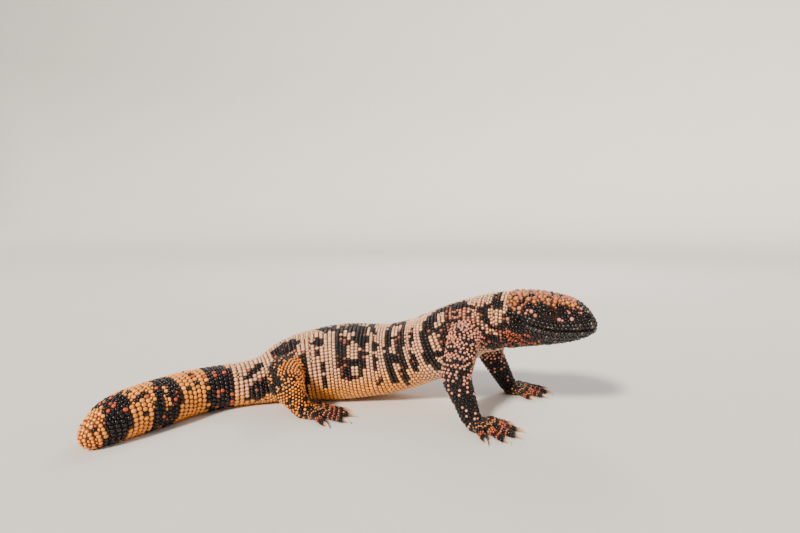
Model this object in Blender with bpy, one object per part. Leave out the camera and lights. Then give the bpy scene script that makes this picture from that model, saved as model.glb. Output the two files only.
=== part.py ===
"""A gila monster at life size: a stout, beaded desert lizard that stands with its chest and head raised.

Metres, +Z up. The animal faces +X, its right side faces -Y, and the floor is z = 0.
Its trunk bows away from -Y, so the head and the tail both come forward on that side.
"""

import math

import bmesh
import bpy
from mathutils import Matrix, Vector

MM = 0.001

# Driving dimensions
GAP = 0.3 * MM  # between neighbouring nodes
HEAD_LENGTH = 65.8 * MM
HEAD_YAW = math.radians(-24.3)  # the head turns towards -Y
HEAD_TILT = math.radians(2.9)  # and is held slightly nose up
NECK_JOINT = Vector((95.7, -2.9, 74.8)) * MM  # on the mouth's level, behind the skull
JAW_CORNER = 17.0 * MM  # from the neck joint, along the head
BEAD_HEIGHT = 0.9 * MM  # how far the beads stand out of the skin
BODY_ROW = 5.0 * MM  # from one row of beads to the next
HEAD_ROW = 3.6 * MM
BODY_SIDES = 34
TAIL_SIDES = 26
HEAD_SIDES = 40
LIMB_SIDES = 14
EYE_RADIUS = 3.4 * MM
EYE_ALONG = 34.4 * MM  # from the neck joint
EYE_ABOVE_MOUTH = 14.5 * MM
EYE_LOOKS = (0.25, 0.92, 0.30)  # forward, sideways and up
EYE_SUNK = 0.62  # how deep the ball's centre lies under the skin, as a share of its radius
LID_RADIUS = 4.7 * MM
LID_OPENING = (3.2 * MM, 2.1 * MM, 3.1 * MM)  # half length, half height and half depth
NOSTRIL = (60.6 * MM, 10.4 * MM, 10.2 * MM)  # along, to the side, above the mouth line
NOSTRIL_SIZE = (1.5 * MM, 3.0 * MM, 1.1 * MM)
EAR = (9.5 * MM, 28.2 * MM, 7.5 * MM)
EAR_SIZE = (1.6 * MM, 2.8 * MM, 4.4 * MM)
MOUTH_LEVEL = 0.9 * MM  # of the mouth line at the snout, above the head's own level
MOUTH_LIFT = 6.8 * MM  # how much farther up it ends at the jaw's corner
MOUTH_SAG = 1.0 * MM  # how far it hangs midway
MOUTH_GROOVE = 0.8 * MM
LIP_RISE = 0.7 * MM
HEAD_BOXY = (2.5, 2.2)  # how square its sections are above and below, where 2 is an oval
BODY_BOXY = (2.15, 2.2)
JAW_STEPS = 10  # straight pieces of the cut along the mouth line
DIGIT_COUNT = 5

# Head sections from the neck joint to the snout, in millimetres:
# distance, half width, height above the mouth line, depth below it
HEAD_SECTIONS = (
    (0.0, 24.4, 29.8, 16.9),
    (6.0, 27.0, 30.1, 15.6),
    (16.0, 28.4, 30.0, 14.2),
    (26.0, 26.4, 29.2, 12.8),
    (36.0, 22.8, 27.2, 11.4),
    (46.0, 19.2, 24.4, 9.8),
    (54.0, 16.2, 20.3, 7.7),
    (60.0, 12.8, 14.9, 5.2),
    (63.6, 9.0, 9.6, 3.0),
    (65.8, 3.6, 5.2, 1.2),
)

# Soft forms of the face in millimetres: how far along, to the side and above the mouth line
# each one lies, how far it spreads in those three directions, and how far it stands out
HEAD_FORMS = {
    "brow": ((33.5, 20.5, 20.5), (7.5, 4.5, 3.4), 1.5),
    "hollow before the eye": ((44.0, 19.0, 12.0), (4.5, 5.0, 4.0), -1.2),
    "snout ridge": ((53.0, 13.0, 17.0), (6.0, 4.0, 4.0), 0.6),
    "nostril swelling": ((60.0, 10.5, 11.0), (3.2, 4.0, 3.0), 0.7),
    "jaw muscle": ((12.0, 28.0, 12.0), (8.0, 8.0, 7.5), 1.3),
    "hollow behind the eye": ((25.0, 26.0, 15.0), (4.0, 6.0, 4.0), -0.9),
    "cheek": ((23.0, 26.0, 5.0), (7.0, 6.0, 3.5), 0.7),
    "crown groove": ((18.0, 0.0, 30.0), (16.0, 3.5, 8.0), -0.7),
}

# Stations of neck, trunk and tail in millimetres:
# x, y, z of the side line, half width, height above it, depth below it
BODY_STATIONS = (
    (84.8, 2.0, 74.2, 23.2, 28.6, 19.8),
    (75.5, 7.0, 72.8, 23.8, 27.2, 21.2),
    (65.2, 13.0, 70.0, 26.6, 26.2, 22.6),
    (55.0, 18.3, 65.0, 30.0, 27.2, 26.0),
    (44.5, 23.0, 59.0, 32.6, 28.3, 29.5),
    (18.3, 35.0, 46.5, 34.5, 27.8, 30.7),
    (-18.6, 43.0, 35.5, 37.0, 31.6, 31.6),
    (-50.4, 45.0, 32.8, 38.5, 34.0, 33.4),
    (-83.6, 42.0, 29.4, 36.0, 31.2, 30.2),
    (-105.9, 37.0, 25.0, 30.0, 26.4, 26.2),
    (-125.3, 30.0, 19.6, 23.5, 19.8, 20.3),
    (-143.5, 22.0, 17.9, 19.8, 18.2, 18.4),
    (-163.6, 10.0, 17.6, 19.0, 18.2, 18.2),
    (-181.0, -8.0, 17.8, 18.8, 18.4, 18.4),
    (-196.7, -34.0, 17.6, 18.4, 18.1, 18.2),
    (-207.5, -50.0, 17.0, 17.6, 17.4, 17.6),
    (-214.0, -62.5, 15.4, 15.4, 15.6, 16.0),
    (-218.0, -71.5, 13.3, 12.0, 12.6, 13.7),
    (-221.3, -78.6, 10.8, 8.0, 8.6, 11.1),
    (-223.2, -82.8, 9.2, 4.6, 5.0, 7.5),
    (-224.1, -84.8, 8.4, 1.9, 2.1, 3.2),
)
# Where the nodes of that tube end, in millimetres along it from the neck joint
BODY_CUTS = {
    "neck": 15.0,
    "chest": 104.0,
    "belly": 186.0,
    "pelvis": 245.0,
    "tail_base": 292.0,
    "tail_middle": 344.0,
}

# Limbs: the side they are on, the node they grow from, how far along the tube that is,
# the angle below the side line, and elbow or knee, wrist or ankle, and foot centre in millimetres.
# Then the radii from root to wrist, the foot's heading in degrees from +X,
# its digits' lengths from the inner one out, and its pad's half width, half height and half length.
LIMBS = {
    "fore_right": {
        "side": -1,
        "root": "chest",
        "along": 35.0,
        "below": 9.0,
        "joints": ((44.5, -29.0, 39.0), (54.5, -37.0, 12.5), (62.0, -41.5, 6.0)),
        "radii": (13.5, 11.6, 9.6, 8.0),
        "heading": -38.0,
        "digits": (15.5, 21.0, 23.0, 22.0, 16.5),
        "palm": (11.0, 4.8, 9.0),
    },
    "fore_left": {
        "side": 1,
        "root": "chest",
        "along": 35.0,
        "below": 9.0,
        "joints": ((86.0, 55.0, 39.0), (101.0, 54.0, 12.5), (109.0, 51.5, 6.0)),
        "radii": (13.5, 11.6, 9.6, 8.0),
        "heading": -8.0,
        "digits": (15.5, 21.0, 23.0, 22.0, 16.5),
        "palm": (11.0, 4.8, 9.0),
    },
    "hind_right": {
        "side": -1,
        "root": "pelvis",
        "along": 219.0,
        "below": -12.0,
        "joints": ((-92.5, -17.0, 27.5), (-84.0, -13.5, 11.5), (-75.5, -11.5, 6.2)),
        "radii": (15.5, 13.2, 10.6, 8.6),
        "heading": -7.0,
        "digits": (13.5, 20.0, 24.0, 25.0, 18.5),
        "palm": (10.8, 5.2, 11.0),
    },
    "hind_left": {
        "side": 1,
        "root": "pelvis",
        "along": 223.0,
        "below": 4.0,
        "joints": ((-119.5, 88.0, 24.5), (-108.5, 89.0, 11.0), (-99.0, 94.5, 6.2)),
        "radii": (15.5, 13.2, 10.6, 8.6),
        "heading": 30.0,
        "digits": (13.5, 20.0, 24.0, 25.0, 18.5),
        "palm": (10.8, 5.2, 11.0),
    },
}
DIGIT_SPREAD = (-50.0, -25.0, -4.0, 17.0, 40.0)  # degrees from the foot's heading, inner first
DIGIT_RADII = (3.5, 3.1, 2.55)  # root, middle, tip
LIMB_STANDOFF = 4.0 * MM  # from the trunk's skin to the flat end of a limb
LIMB_BULGE = 0.1  # how far an upper limb bows outwards, as a share of its length
LIMB_NODES = {"fore": ("upper_arm", "forearm", "hand"), "hind": ("thigh", "shank", "foot")}
# Sections of a palm or sole from heel to knuckles: share of its half length, width and height
PAD_SECTIONS = ((-1.0, 0.5, 0.6), (-0.6, 0.85, 0.95), (0.0, 1.0, 1.0), (0.6, 1.0, 0.9), (1.0, 0.7, 0.65))
PAD_SUNK = 0.4 * MM  # how far the pad reaches below the floor, where it is cut flat
PAD_SIDES = 12
WRIST_REACH = 4.0 * MM
DIGIT_INSIDE = 4.5 * MM  # how far a digit starts behind its knuckle
DIGIT_START_HEIGHT = 4.4 * MM
DIGIT_ARCH = 1.6 * MM  # how much higher the middle joint stands than it needs to
DIGIT_SIDES = 7
CLAW_LENGTH = 7.2 * MM
CLAW_RADIUS = 1.35 * MM
CLAW_TIP_RADIUS = 0.22 * MM
CLAW_TIP_HEIGHT = 0.45 * MM
CLAW_ARCH = 2.2 * MM
CLAW_SIDES = 6
SLAB_SIDE = 0.5  # cutting slabs reach past everything
SLAB_DEPTH = 0.06


def clear_scene():
    """Remove whatever the scene holds, so that the model starts from nothing."""
    for obj in list(bpy.data.objects):
        bpy.data.objects.remove(obj, do_unlink=True)


def principled(name, colour, roughness):
    """A plain Principled material in one colour."""
    material = bpy.data.materials.new(name)
    material.use_nodes = True
    shader = material.node_tree.nodes["Principled BSDF"]
    shader.inputs["Base Color"].default_value = (*colour, 1.0)
    shader.inputs["Roughness"].default_value = roughness
    shader.inputs["Metallic"].default_value = 0.0
    return material


def pchip(knots, values, at):
    """Monotone cubic interpolation: smooth through every knot, with no overshoot between them."""
    last = len(knots) - 1
    i = max(k for k in range(last) if knots[k] <= at or k == 0)
    steps = [knots[k + 1] - knots[k] for k in range(last)]
    rises = [(values[k + 1] - values[k]) / steps[k] for k in range(last)]

    def slope(k):
        if k == 0 or k == last:
            return rises[min(k, last - 1)]
        before, after = rises[k - 1], rises[k]
        if before * after <= 0:
            return 0.0
        heavy = 2 * steps[k] + steps[k - 1]
        light = steps[k] + 2 * steps[k - 1]
        return (heavy + light) / (heavy / before + light / after)

    width = steps[i]
    t = min(max((at - knots[i]) / width, 0.0), 1.0)
    start = (1 + 2 * t) * (1 - t) ** 2 * values[i] + t * (1 - t) ** 2 * width * slope(i)
    end = t * t * (3 - 2 * t) * values[i + 1] + t * t * (t - 1) * width * slope(i + 1)
    return start + end


class Tube:
    """A tube along a curved line, whose section is given at stations by half width, height and depth."""

    def __init__(self, stations, boxy_top, boxy_bottom, start_direction=None):
        self.stations = stations
        self.start_direction = start_direction
        self.boxy_top = boxy_top
        self.boxy_bottom = boxy_bottom
        self.knots = [0.0]
        for a, b in zip(stations, stations[1:]):
            self.knots.append(self.knots[-1] + (Vector(b[:3]) - Vector(a[:3])).length)
        self.length = self.knots[-1]

    def read(self, along):
        """x, y, z, half width, height and depth at a distance along the line."""
        columns = zip(*self.stations)
        return [pchip(self.knots, column, along) for column in columns]

    def frame(self, along):
        """Centre, direction, left and up at a distance along the line."""
        step = 1.0 * MM
        behind = self.read(max(along - step, 0.0))
        ahead = self.read(min(along + step, self.length))
        direction = (Vector(behind[:3]) - Vector(ahead[:3])).normalized()
        if self.start_direction and along < step:
            direction = self.start_direction
        left = Vector((0, 0, 1)).cross(direction).normalized()
        return Vector(self.read(along)[:3]), direction, left, direction.cross(left)

    def point(self, along, angle, raised=0.0):
        """A point on the skin: angle 0 is the left side line, a quarter turn is the back's midline."""
        centre, _, left, up = self.frame(along)
        width, height, depth = self.read(along)[3:6]
        c, s = math.cos(angle), math.sin(angle)
        rise, power = (height, self.boxy_top) if s >= 0 else (depth, self.boxy_bottom)
        across = math.copysign(abs(c) ** (2 / power), c) * width
        above = math.copysign(abs(s) ** (2 / power), s) * rise
        radial = left * across + up * above
        return centre + radial + radial.normalized() * raised


def rows_between(start, end, pitch, rounded_end=False):
    """Distances of the rows of beads, closing up towards a rounded end."""
    count = max(2, round((end - start) / pitch))
    shares = [i / count for i in range(count + 1)]
    if rounded_end:
        shares = [share + 0.30 * math.sin(math.pi * share) / math.pi for share in shares]
    return [start + (end - start) * share for share in shares]


def bead_rise(row, rows, side, height):
    """Every other corner stands up as a bead, but for those on a node's cut ends."""
    if row in (0, rows - 1) or (row + side) % 2:
        return 0.0
    return height


def on_bead(row, side):
    """Whether this corner of a beaded surface is one that stands up."""
    return (row + side) % 2 == 0


def loft(name, rings, raised=lambda row, side: False):
    """A closed mesh over rings of equal count, split so that each raised corner is a separate bead."""
    mesh = bpy.data.meshes.new(name)
    bm = bmesh.new()
    corners = [[bm.verts.new(point) for point in ring] for ring in rings]
    sides = len(rings[0])
    for row in range(len(rings) - 1):
        for side in range(sides):
            following = (side + 1) % sides
            a, b = corners[row][side], corners[row][following]
            c, d = corners[row + 1][following], corners[row + 1][side]
            if raised(row, side) or raised(row + 1, following):
                bm.faces.new((a, b, d))
                bm.faces.new((b, c, d))
            else:
                bm.faces.new((a, b, c))
                bm.faces.new((a, c, d))
    bm.faces.new(reversed(corners[0]))
    bm.faces.new(corners[-1])
    bmesh.ops.recalc_face_normals(bm, faces=bm.faces)
    bm.to_mesh(mesh)
    bm.free()
    obj = bpy.data.objects.new(name, mesh)
    bpy.context.scene.collection.objects.link(obj)
    return obj


def on_floor(point):
    """The same point, lifted to the floor if it would lie below it."""
    return Vector((point.x, point.y, max(point.z, 0.0)))


def face_form(point):
    """How far the skin stands out at a point of the head, by the soft forms of the face."""
    offset = point - NECK_JOINT
    along, aside, above = (offset.dot(direction) / MM for direction in head_frame())
    rise = 0.0
    for place, spread, out in HEAD_FORMS.values():
        offsets = zip((along, abs(aside), above), place, spread)
        away = [(at - middle) / width for at, middle, width in offsets]
        rise += out * MM * math.exp(-0.5 * sum(share * share for share in away))
    return rise


def beaded_length(name, tube, rows, sides, height):
    """A length of a tube, with a flat cut at each end and beads in rows round it."""
    rings = []
    for row, along in enumerate(rows):
        ring = []
        for side in range(sides):
            rise = bead_rise(row, len(rows), side, height)
            ring.append(on_floor(tube.point(along, math.tau * side / sides, rise)))
        rings.append(ring)
    return loft(name, rings, on_bead)


def apply_boolean(obj, operation, cutters, solver="EXACT"):
    """Join or cut with one Boolean on a collection of closed meshes, and remove those meshes."""
    group = bpy.data.collections.new("operands")
    bpy.context.scene.collection.children.link(group)
    for cutter in cutters:
        group.objects.link(cutter)
        bpy.context.scene.collection.objects.unlink(cutter)
    modifier = obj.modifiers.new("boolean", "BOOLEAN")
    modifier.operation = operation
    modifier.operand_type = "COLLECTION"
    modifier.collection = group
    modifier.solver = solver
    graph = bpy.context.evaluated_depsgraph_get()
    made = bpy.data.meshes.new_from_object(obj.evaluated_get(graph))
    obj.modifiers.clear()
    obj.data = made
    for cutter in cutters:
        bpy.data.objects.remove(cutter, do_unlink=True)
    bpy.data.collections.remove(group)


def keep_largest(obj):
    """Keep the largest closed surface of a mesh, and drop loose scraps."""
    bm = bmesh.new()
    bm.from_mesh(obj.data)
    unseen = set(bm.verts)
    groups = []
    while unseen:
        stack = [unseen.pop()]
        group = list(stack)
        while stack:
            for edge in stack.pop().link_edges:
                for vert in edge.verts:
                    if vert in unseen:
                        unseen.remove(vert)
                        stack.append(vert)
                        group.append(vert)
        groups.append(group)
    largest = max(groups, key=len)
    scraps = [vert for group in groups if group is not largest for vert in group]
    bmesh.ops.delete(bm, geom=scraps, context="VERTS")
    bm.to_mesh(obj.data)
    bm.free()


def slab(name, face, outward, depth):
    """A wide, closed slab with its outer face through a point and the rest of it behind that face."""
    across = outward.orthogonal().normalized()
    upper = outward.cross(across)
    corners = [face + (across * x + upper * y) * SLAB_SIDE for x, y in ((-1, -1), (1, -1), (1, 1), (-1, 1))]
    return loft(name, [[corner - outward * depth for corner in corners], corners])


def cut_at_floor(obj):
    """Cut away what lies below the floor, so that the node stands on small flats."""
    apply_boolean(obj, "DIFFERENCE", [slab("ground", Vector(), Vector((0, 0, 1)), SLAB_SIDE)])


def ball(name, centre, radii, turn=None, segments=12, rings=8):
    """An ellipsoid, turned by a matrix."""
    mesh = bpy.data.meshes.new(name)
    bm = bmesh.new()
    bmesh.ops.create_uvsphere(bm, u_segments=segments, v_segments=rings, radius=1.0)
    bmesh.ops.scale(bm, vec=Vector(radii), verts=bm.verts)
    bm.to_mesh(mesh)
    bm.free()
    obj = bpy.data.objects.new(name, mesh)
    obj.data.transform(Matrix.Translation(centre) @ (turn.to_4x4() if turn else Matrix()))
    bpy.context.scene.collection.objects.link(obj)
    return obj


def head_frame():
    """Forward, left and up of the head."""
    flat = math.cos(HEAD_TILT)
    forward = Vector((math.cos(HEAD_YAW) * flat, math.sin(HEAD_YAW) * flat, math.sin(HEAD_TILT)))
    left = Vector((0, 0, 1)).cross(forward).normalized()
    return forward, left, forward.cross(left)


def head_point(along, left_of, above):
    """A point given in the head's own directions, from the neck joint."""
    forward, left, up = head_frame()
    return NECK_JOINT + forward * along + left * left_of + up * above


def head_tube():
    """The head as a tube from the snout to the neck joint."""
    stations = []
    for along, width, height, depth in reversed(HEAD_SECTIONS):
        stations.append((*head_point(along * MM, 0, 0), width * MM, height * MM, depth * MM))
    return Tube(stations, *HEAD_BOXY)


def body_tube():
    """Neck, trunk and tail as one tube from the neck joint to the tail's tip."""
    _, width, height, depth = HEAD_SECTIONS[0]
    stations = [(*NECK_JOINT, width * MM, height * MM, depth * MM)]
    stations += [tuple(value * MM for value in station) for station in BODY_STATIONS]
    return Tube(stations, *BODY_BOXY, head_frame()[0])


def mouth_height(along):
    """How far the mouth line lies above the head's level: it sags midway and rises to the jaw's corner."""
    share = min(1.0, max(0.0, (along - JAW_CORNER) / (HEAD_LENGTH - JAW_CORNER)))
    return MOUTH_LEVEL + MOUTH_LIFT * (1 - share) ** 3 - MOUTH_SAG * math.sin(math.pi * share) ** 2


def head_angle(tube, along, side):
    """The angle of one side of the head's ring: sides 0 and half way round lie on the mouth line."""
    height = tube.read(along)[4]
    lifted = math.asin((mouth_height(HEAD_LENGTH - along) / height) ** (tube.boxy_top / 2))
    share = 2 * side / HEAD_SIDES
    if share <= 1:
        return lifted + (math.pi - 2 * lifted) * share
    return math.pi - lifted + (math.pi + 2 * lifted) * (share - 1)


def make_head(tube):
    """The whole head, before the jaw is parted from it: beads above, and lips along the mouth line."""
    from_neck = rows_between(GAP / 2, HEAD_LENGTH, HEAD_ROW, rounded_end=True)
    rows = [HEAD_LENGTH - along for along in reversed(from_neck)]
    rings = []
    for row, along in enumerate(rows):
        ring = []
        in_mouth = HEAD_LENGTH - along > JAW_CORNER
        fade = min(1.0, along / (10 * MM))
        at_neck = 0.0 if row == len(rows) - 1 else 1.0
        for side in range(HEAD_SIDES):
            from_mouth = min(side, HEAD_SIDES - side, abs(side - HEAD_SIDES // 2))
            rise = bead_rise(row, len(rows), side, BEAD_HEIGHT)
            if in_mouth and from_mouth == 0:
                rise = -MOUTH_GROOVE
            elif in_mouth and from_mouth == 1:
                rise = LIP_RISE
            angle = head_angle(tube, along, side)
            rise = rise * fade + face_form(tube.point(along, angle)) * at_neck
            ring.append(tube.point(along, angle, rise))
        rings.append(ring)
    return loft("head", rings, on_bead)


def jaw_zone(name, clearance):
    """The block that holds the lower jaw: below the mouth line and ahead of a cut that leans back."""
    wide, low, lean = 40 * MM, 30 * MM, 9 * MM
    near = JAW_CORNER + 0.5 * GAP - clearance
    stations = [near + (HEAD_LENGTH - near) * step / JAW_STEPS for step in range(JAW_STEPS + 1)]
    rings = []
    for along in stations + [HEAD_LENGTH + lean]:
        top = mouth_height(along) - 0.5 * GAP + clearance
        below = [(along - lean, -wide, -low), (along - lean, wide, -low)]
        corners = below + [(along, wide, top), (along, -wide, top)]
        rings.append([head_point(*corner) for corner in corners])
    return loft(name, rings)


def add_eye(head, tube, side, name):
    """Lids raised round the eye, an almond opening between them, and the eyeball behind it."""
    forward, left, up = head_frame()
    width, height = tube.read(HEAD_LENGTH - EYE_ALONG)[3:5]
    reach = (1 - (EYE_ABOVE_MOUTH / height) ** tube.boxy_top) ** (1 / tube.boxy_top) * width
    ahead, aside, upward = EYE_LOOKS
    outward = (left * side * aside + up * upward + forward * ahead).normalized()
    surface = head_point(EYE_ALONG, side * reach, EYE_ABOVE_MOUTH)
    centre = surface - outward * EYE_RADIUS * EYE_SUNK
    across = up.cross(outward).normalized()
    turn = Matrix((across, outward.cross(across), outward)).transposed()
    apply_boolean(head, "UNION", [ball("lids", centre, [LID_RADIUS] * 3, turn, 16, 10)])
    opening = ball("opening", centre + outward * (EYE_RADIUS + GAP), LID_OPENING, turn)
    socket = ball("socket", centre, [EYE_RADIUS + GAP] * 3, turn)
    apply_boolean(head, "DIFFERENCE", [opening, socket])
    return ball(name, centre, [EYE_RADIUS] * 3, turn)


def cut_nostril_and_ear(head, side):
    """A nostril near the snout's tip, and the upright slit of the ear behind the jaw's corner."""
    upright = Matrix(head_frame()).transposed()
    pits = []
    for name, (along, aside, above), size in (("nostril", NOSTRIL, NOSTRIL_SIZE), ("ear", EAR, EAR_SIZE)):
        pits.append(ball(name, head_point(along, side * aside, above), size, upright, 8, 6))
    apply_boolean(head, "DIFFERENCE", pits)


def build_head(materials):
    """Head, lower jaw and eyes."""
    tube = head_tube()
    whole = make_head(tube)
    lower_jaw = whole.copy()
    lower_jaw.data = whole.data.copy()
    lower_jaw.name = "lower_jaw"
    bpy.context.scene.collection.objects.link(lower_jaw)
    apply_boolean(lower_jaw, "INTERSECT", [jaw_zone("jaw_zone", 0.0)])
    apply_boolean(whole, "DIFFERENCE", [jaw_zone("jaw_space", GAP)])
    eyes = []
    for side, name in ((-1, "eye_right"), (1, "eye_left")):
        eyes.append(add_eye(whole, tube, side, name))
        cut_nostril_and_ear(whole, side)
    keep_largest(whole)
    keep_largest(lower_jaw)
    finish([whole, lower_jaw], materials["head"])
    finish(eyes, materials["eye"])


def limb_root(body, limb):
    """Where a limb leaves the trunk, and the skin's outward direction there."""
    angle = math.radians(-limb["below"])
    if limb["side"] < 0:
        angle = math.pi - angle
    along = limb["along"] * MM
    reach = limb["radii"][0] * MM
    turn = reach / body.read(along)[3]
    lengthwise = body.point(along - reach, angle) - body.point(along + reach, angle)
    crosswise = body.point(along, angle + turn) - body.point(along, angle - turn)
    return body.point(along, angle), crosswise.cross(lengthwise).normalized()


def limb_lines(surface, outward, limb):
    """The middle lines of a limb's stump, upper part and lower part, with their radii."""
    middle, end = (Vector(joint) * MM for joint in limb["joints"][:2])
    at_root, at_middle, below_middle, at_end = (radius * MM for radius in limb["radii"])
    root = surface + outward * LIMB_STANDOFF
    bulge = outward * LIMB_BULGE * (middle - root).length
    inside = (surface - outward * at_root, at_root)
    stump = [inside, (root, at_root)]
    bowed = (root.lerp(middle, 0.5) + bulge, (at_root + at_middle) / 2)
    upper = [inside, (root, at_root), bowed, (middle, at_middle)]
    lower = [(middle, at_middle * 0.95), (middle.lerp(end, 0.6), below_middle), (end, at_end)]
    return stump, upper, lower


def smooth_line(line, per_span):
    """Places and radii on a Catmull-Rom curve through the line's own points."""
    points = [line[0]] + list(line) + [line[-1]]
    made = []
    for i in range(1, len(points) - 2):
        for step in range(per_span):
            t = step / per_span
            weights = (
                -0.5 * t + t * t - 0.5 * t**3,
                1 - 2.5 * t * t + 1.5 * t**3,
                0.5 * t + 2 * t * t - 1.5 * t**3,
                -0.5 * t * t + 0.5 * t**3,
            )
            four = points[i - 1 : i + 3]
            place = sum((p[0] * w for p, w in zip(four, weights)), Vector())
            made.append((place, sum(p[1] * w for p, w in zip(four, weights))))
    made.append(line[-1])
    return made


def frames_along(line, fixed=None):
    """Place, radius, direction and sideways at each point of a line, carried along it without a twist.

    A direction that is fixed for a point of the line takes the place of the line's own there.
    """
    frames = []
    across = None
    for row, (place, radius) in enumerate(line):
        ahead = line[min(row + 1, len(line) - 1)][0]
        behind = line[max(row - 1, 0)][0]
        direction = (ahead - behind).normalized()
        if fixed and row in fixed:
            direction = fixed[row]
        if across is None:
            across = direction.cross(Vector((0, 0, 1)))
            if across.length < 0.15:
                across = direction.cross(Vector((1, 0, 0)))
        across = (across - direction * across.dot(direction)).normalized()
        frames.append((place, radius, direction, across.copy()))
    return frames


def rings_round(frames, sides, height=0.0, trims=(0.0, 0.0), extra=0.0):
    """Rings across a line, with beads between its two ends, each end trimmed for the gap."""
    rings = []
    for row, (place, radius, direction, across) in enumerate(frames):
        upper = across.cross(direction)
        if row == 0:
            place = place + direction * trims[0]
        if row == len(frames) - 1:
            place = place - direction * trims[1]
        ring = []
        for side in range(sides):
            angle = math.tau * side / sides
            reach = radius + extra + bead_rise(row, len(frames), side, height)
            ring.append(place + (across * math.cos(angle) + upper * math.sin(angle)) * reach)
        rings.append(ring)
    return rings


def with_round_end(frames, extra=0.0):
    """The same frames, with more that close them in a dome."""
    place, radius, direction, across = frames[-1]
    dome = []
    for degrees in (28, 52, 74):
        turn = math.radians(degrees)
        reach = place + direction * (radius + extra) * math.sin(turn)
        dome.append((reach, (radius + extra) * math.cos(turn) - extra, direction, across))
    return frames + dome


def digit_line(knuckle, heading, length):
    """A digit that arches from the knuckle and comes down on its tip."""
    ahead = Vector((math.cos(heading), math.sin(heading), 0))
    root, middle, tip = (radius * MM for radius in DIGIT_RADII)
    start = knuckle - ahead * DIGIT_INSIDE
    joint = knuckle + ahead * length * 0.45
    end = knuckle + ahead * length
    start.z = DIGIT_START_HEIGHT
    joint.z = middle + DIGIT_ARCH
    end.z = tip + 0.2 * MM
    return [
        (start, root),
        (knuckle.lerp(joint, 0.35) + Vector((0, 0, 0.6 * MM)), root),
        (joint, middle),
        (joint.lerp(end, 0.6), (middle + tip) / 2),
        (end, tip),
    ]


def make_claw(name, tip):
    """A curved, tapering claw that starts on the digit's flat end and comes down to the floor."""
    end, _, direction, _ = tip
    ahead = Vector((direction.x, direction.y, 0)).normalized()
    start = end + direction * GAP
    line = []
    steps = 4
    for step in range(steps + 1):
        t = step / steps
        place = start + (direction * (1 - t) + ahead * t) * CLAW_LENGTH * t
        place.z = start.z * (1 - t * t) + CLAW_TIP_HEIGHT * t * t + CLAW_ARCH * t * (1 - t)
        line.append((place, CLAW_RADIUS * (1 - t) ** 0.75 + CLAW_TIP_RADIUS * t))
    rings = rings_round(frames_along(line, {0: direction}), CLAW_SIDES)
    return loft(name, [[on_floor(point) for point in ring] for ring in rings])


def foot_pad(limb, foot, ahead):
    """The palm or sole, a low pad that is rounded at heel and knuckles."""
    half_width, half_height, length = (value * MM for value in limb["palm"])
    across = Vector((-ahead.y, ahead.x, 0))
    rings = []
    for share, width, height in PAD_SECTIONS:
        centre = foot + ahead * length * share
        centre.z = half_height * height - PAD_SUNK
        ring = []
        for side in range(PAD_SIDES):
            angle = math.tau * side / PAD_SIDES
            offset = across * half_width * width * math.cos(angle)
            ring.append(centre + offset + Vector((0, 0, half_height * height * math.sin(angle))))
        rings.append(ring)
    return loft("pad", rings)


def make_foot(name, limb, wrist, materials):
    """Wrist, palm or sole and five digits joined into one node, and a claw for each digit."""
    foot = Vector(limb["joints"][2]) * MM
    heading = math.radians(limb["heading"])
    ahead = Vector((math.cos(heading), math.sin(heading), 0))
    across = Vector((-ahead.y, ahead.x, 0)) * limb["side"]
    half_width, _, length = (value * MM for value in limb["palm"])
    place, radius, direction, _ = wrist
    line = [
        (place, radius),
        (place + direction * WRIST_REACH, radius * 0.96),
        (place.lerp(foot, 0.5) + direction * WRIST_REACH, radius * 0.6),
    ]
    node = loft(name, rings_round(frames_along(line, {0: direction}), LIMB_SIDES, 0.0, (0.5 * GAP, 0.0)))
    pieces = [foot_pad(limb, foot, ahead)]
    claws = []
    middle = (DIGIT_COUNT - 1) / 2
    for digit in range(DIGIT_COUNT):
        bearing = heading + math.radians(DIGIT_SPREAD[digit]) * limb["side"]
        outer = (digit - middle) / middle
        knuckle = foot + ahead * length * (0.75 - 0.45 * outer * outer)
        knuckle += across * half_width * 0.78 * outer
        line = smooth_line(digit_line(knuckle, bearing, limb["digits"][digit] * MM), 2)
        frames = frames_along(line)
        pieces.append(loft("digit", rings_round(frames, DIGIT_SIDES)))
        claws.append(make_claw(f"{name}_claw_{digit + 1}", frames[-1]))
    apply_boolean(node, "UNION", pieces)
    keep_largest(node)
    cut_at_floor(node)
    finish([node], materials["limb"])
    finish(claws, materials["claw"])


def build_limb(name, limb, body, trunk, materials):
    """Stump on the trunk, then upper part, lower part and foot."""
    surface, outward = limb_root(body, limb)
    stump_line, upper_line, lower_line = limb_lines(surface, outward, limb)
    half_gap = 0.5 * GAP
    stump = rings_round(frames_along(stump_line), LIMB_SIDES, 0.0, (0.0, half_gap))
    trunk[limb["root"]].append(loft("stump", stump))
    frames = frames_along(smooth_line(upper_line, 3))
    end, side = name.split("_")
    words = LIMB_NODES[end]
    rings = rings_round(with_round_end(frames), LIMB_SIDES, BEAD_HEIGHT)
    upper = loft(f"{words[0]}_{side}", rings, on_bead)
    face = surface + outward * (LIMB_STANDOFF + half_gap)
    apply_boolean(upper, "DIFFERENCE", [slab("trunk_side", face, outward, SLAB_DEPTH)])
    keep_largest(upper)
    swollen = rings_round(with_round_end(frames, GAP), LIMB_SIDES, BEAD_HEIGHT, extra=GAP)
    space = loft("space", swollen, on_bead)
    frames = frames_along(smooth_line(lower_line, 3))
    rings = rings_round(frames, LIMB_SIDES, BEAD_HEIGHT, (0.0, half_gap))
    lower = loft(f"{words[1]}_{side}", rings, on_bead)
    apply_boolean(lower, "DIFFERENCE", [space])
    keep_largest(lower)
    finish([upper, lower], materials["limb"])
    make_foot(f"{words[2]}_{side}", limb, frames[-1], materials)


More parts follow.
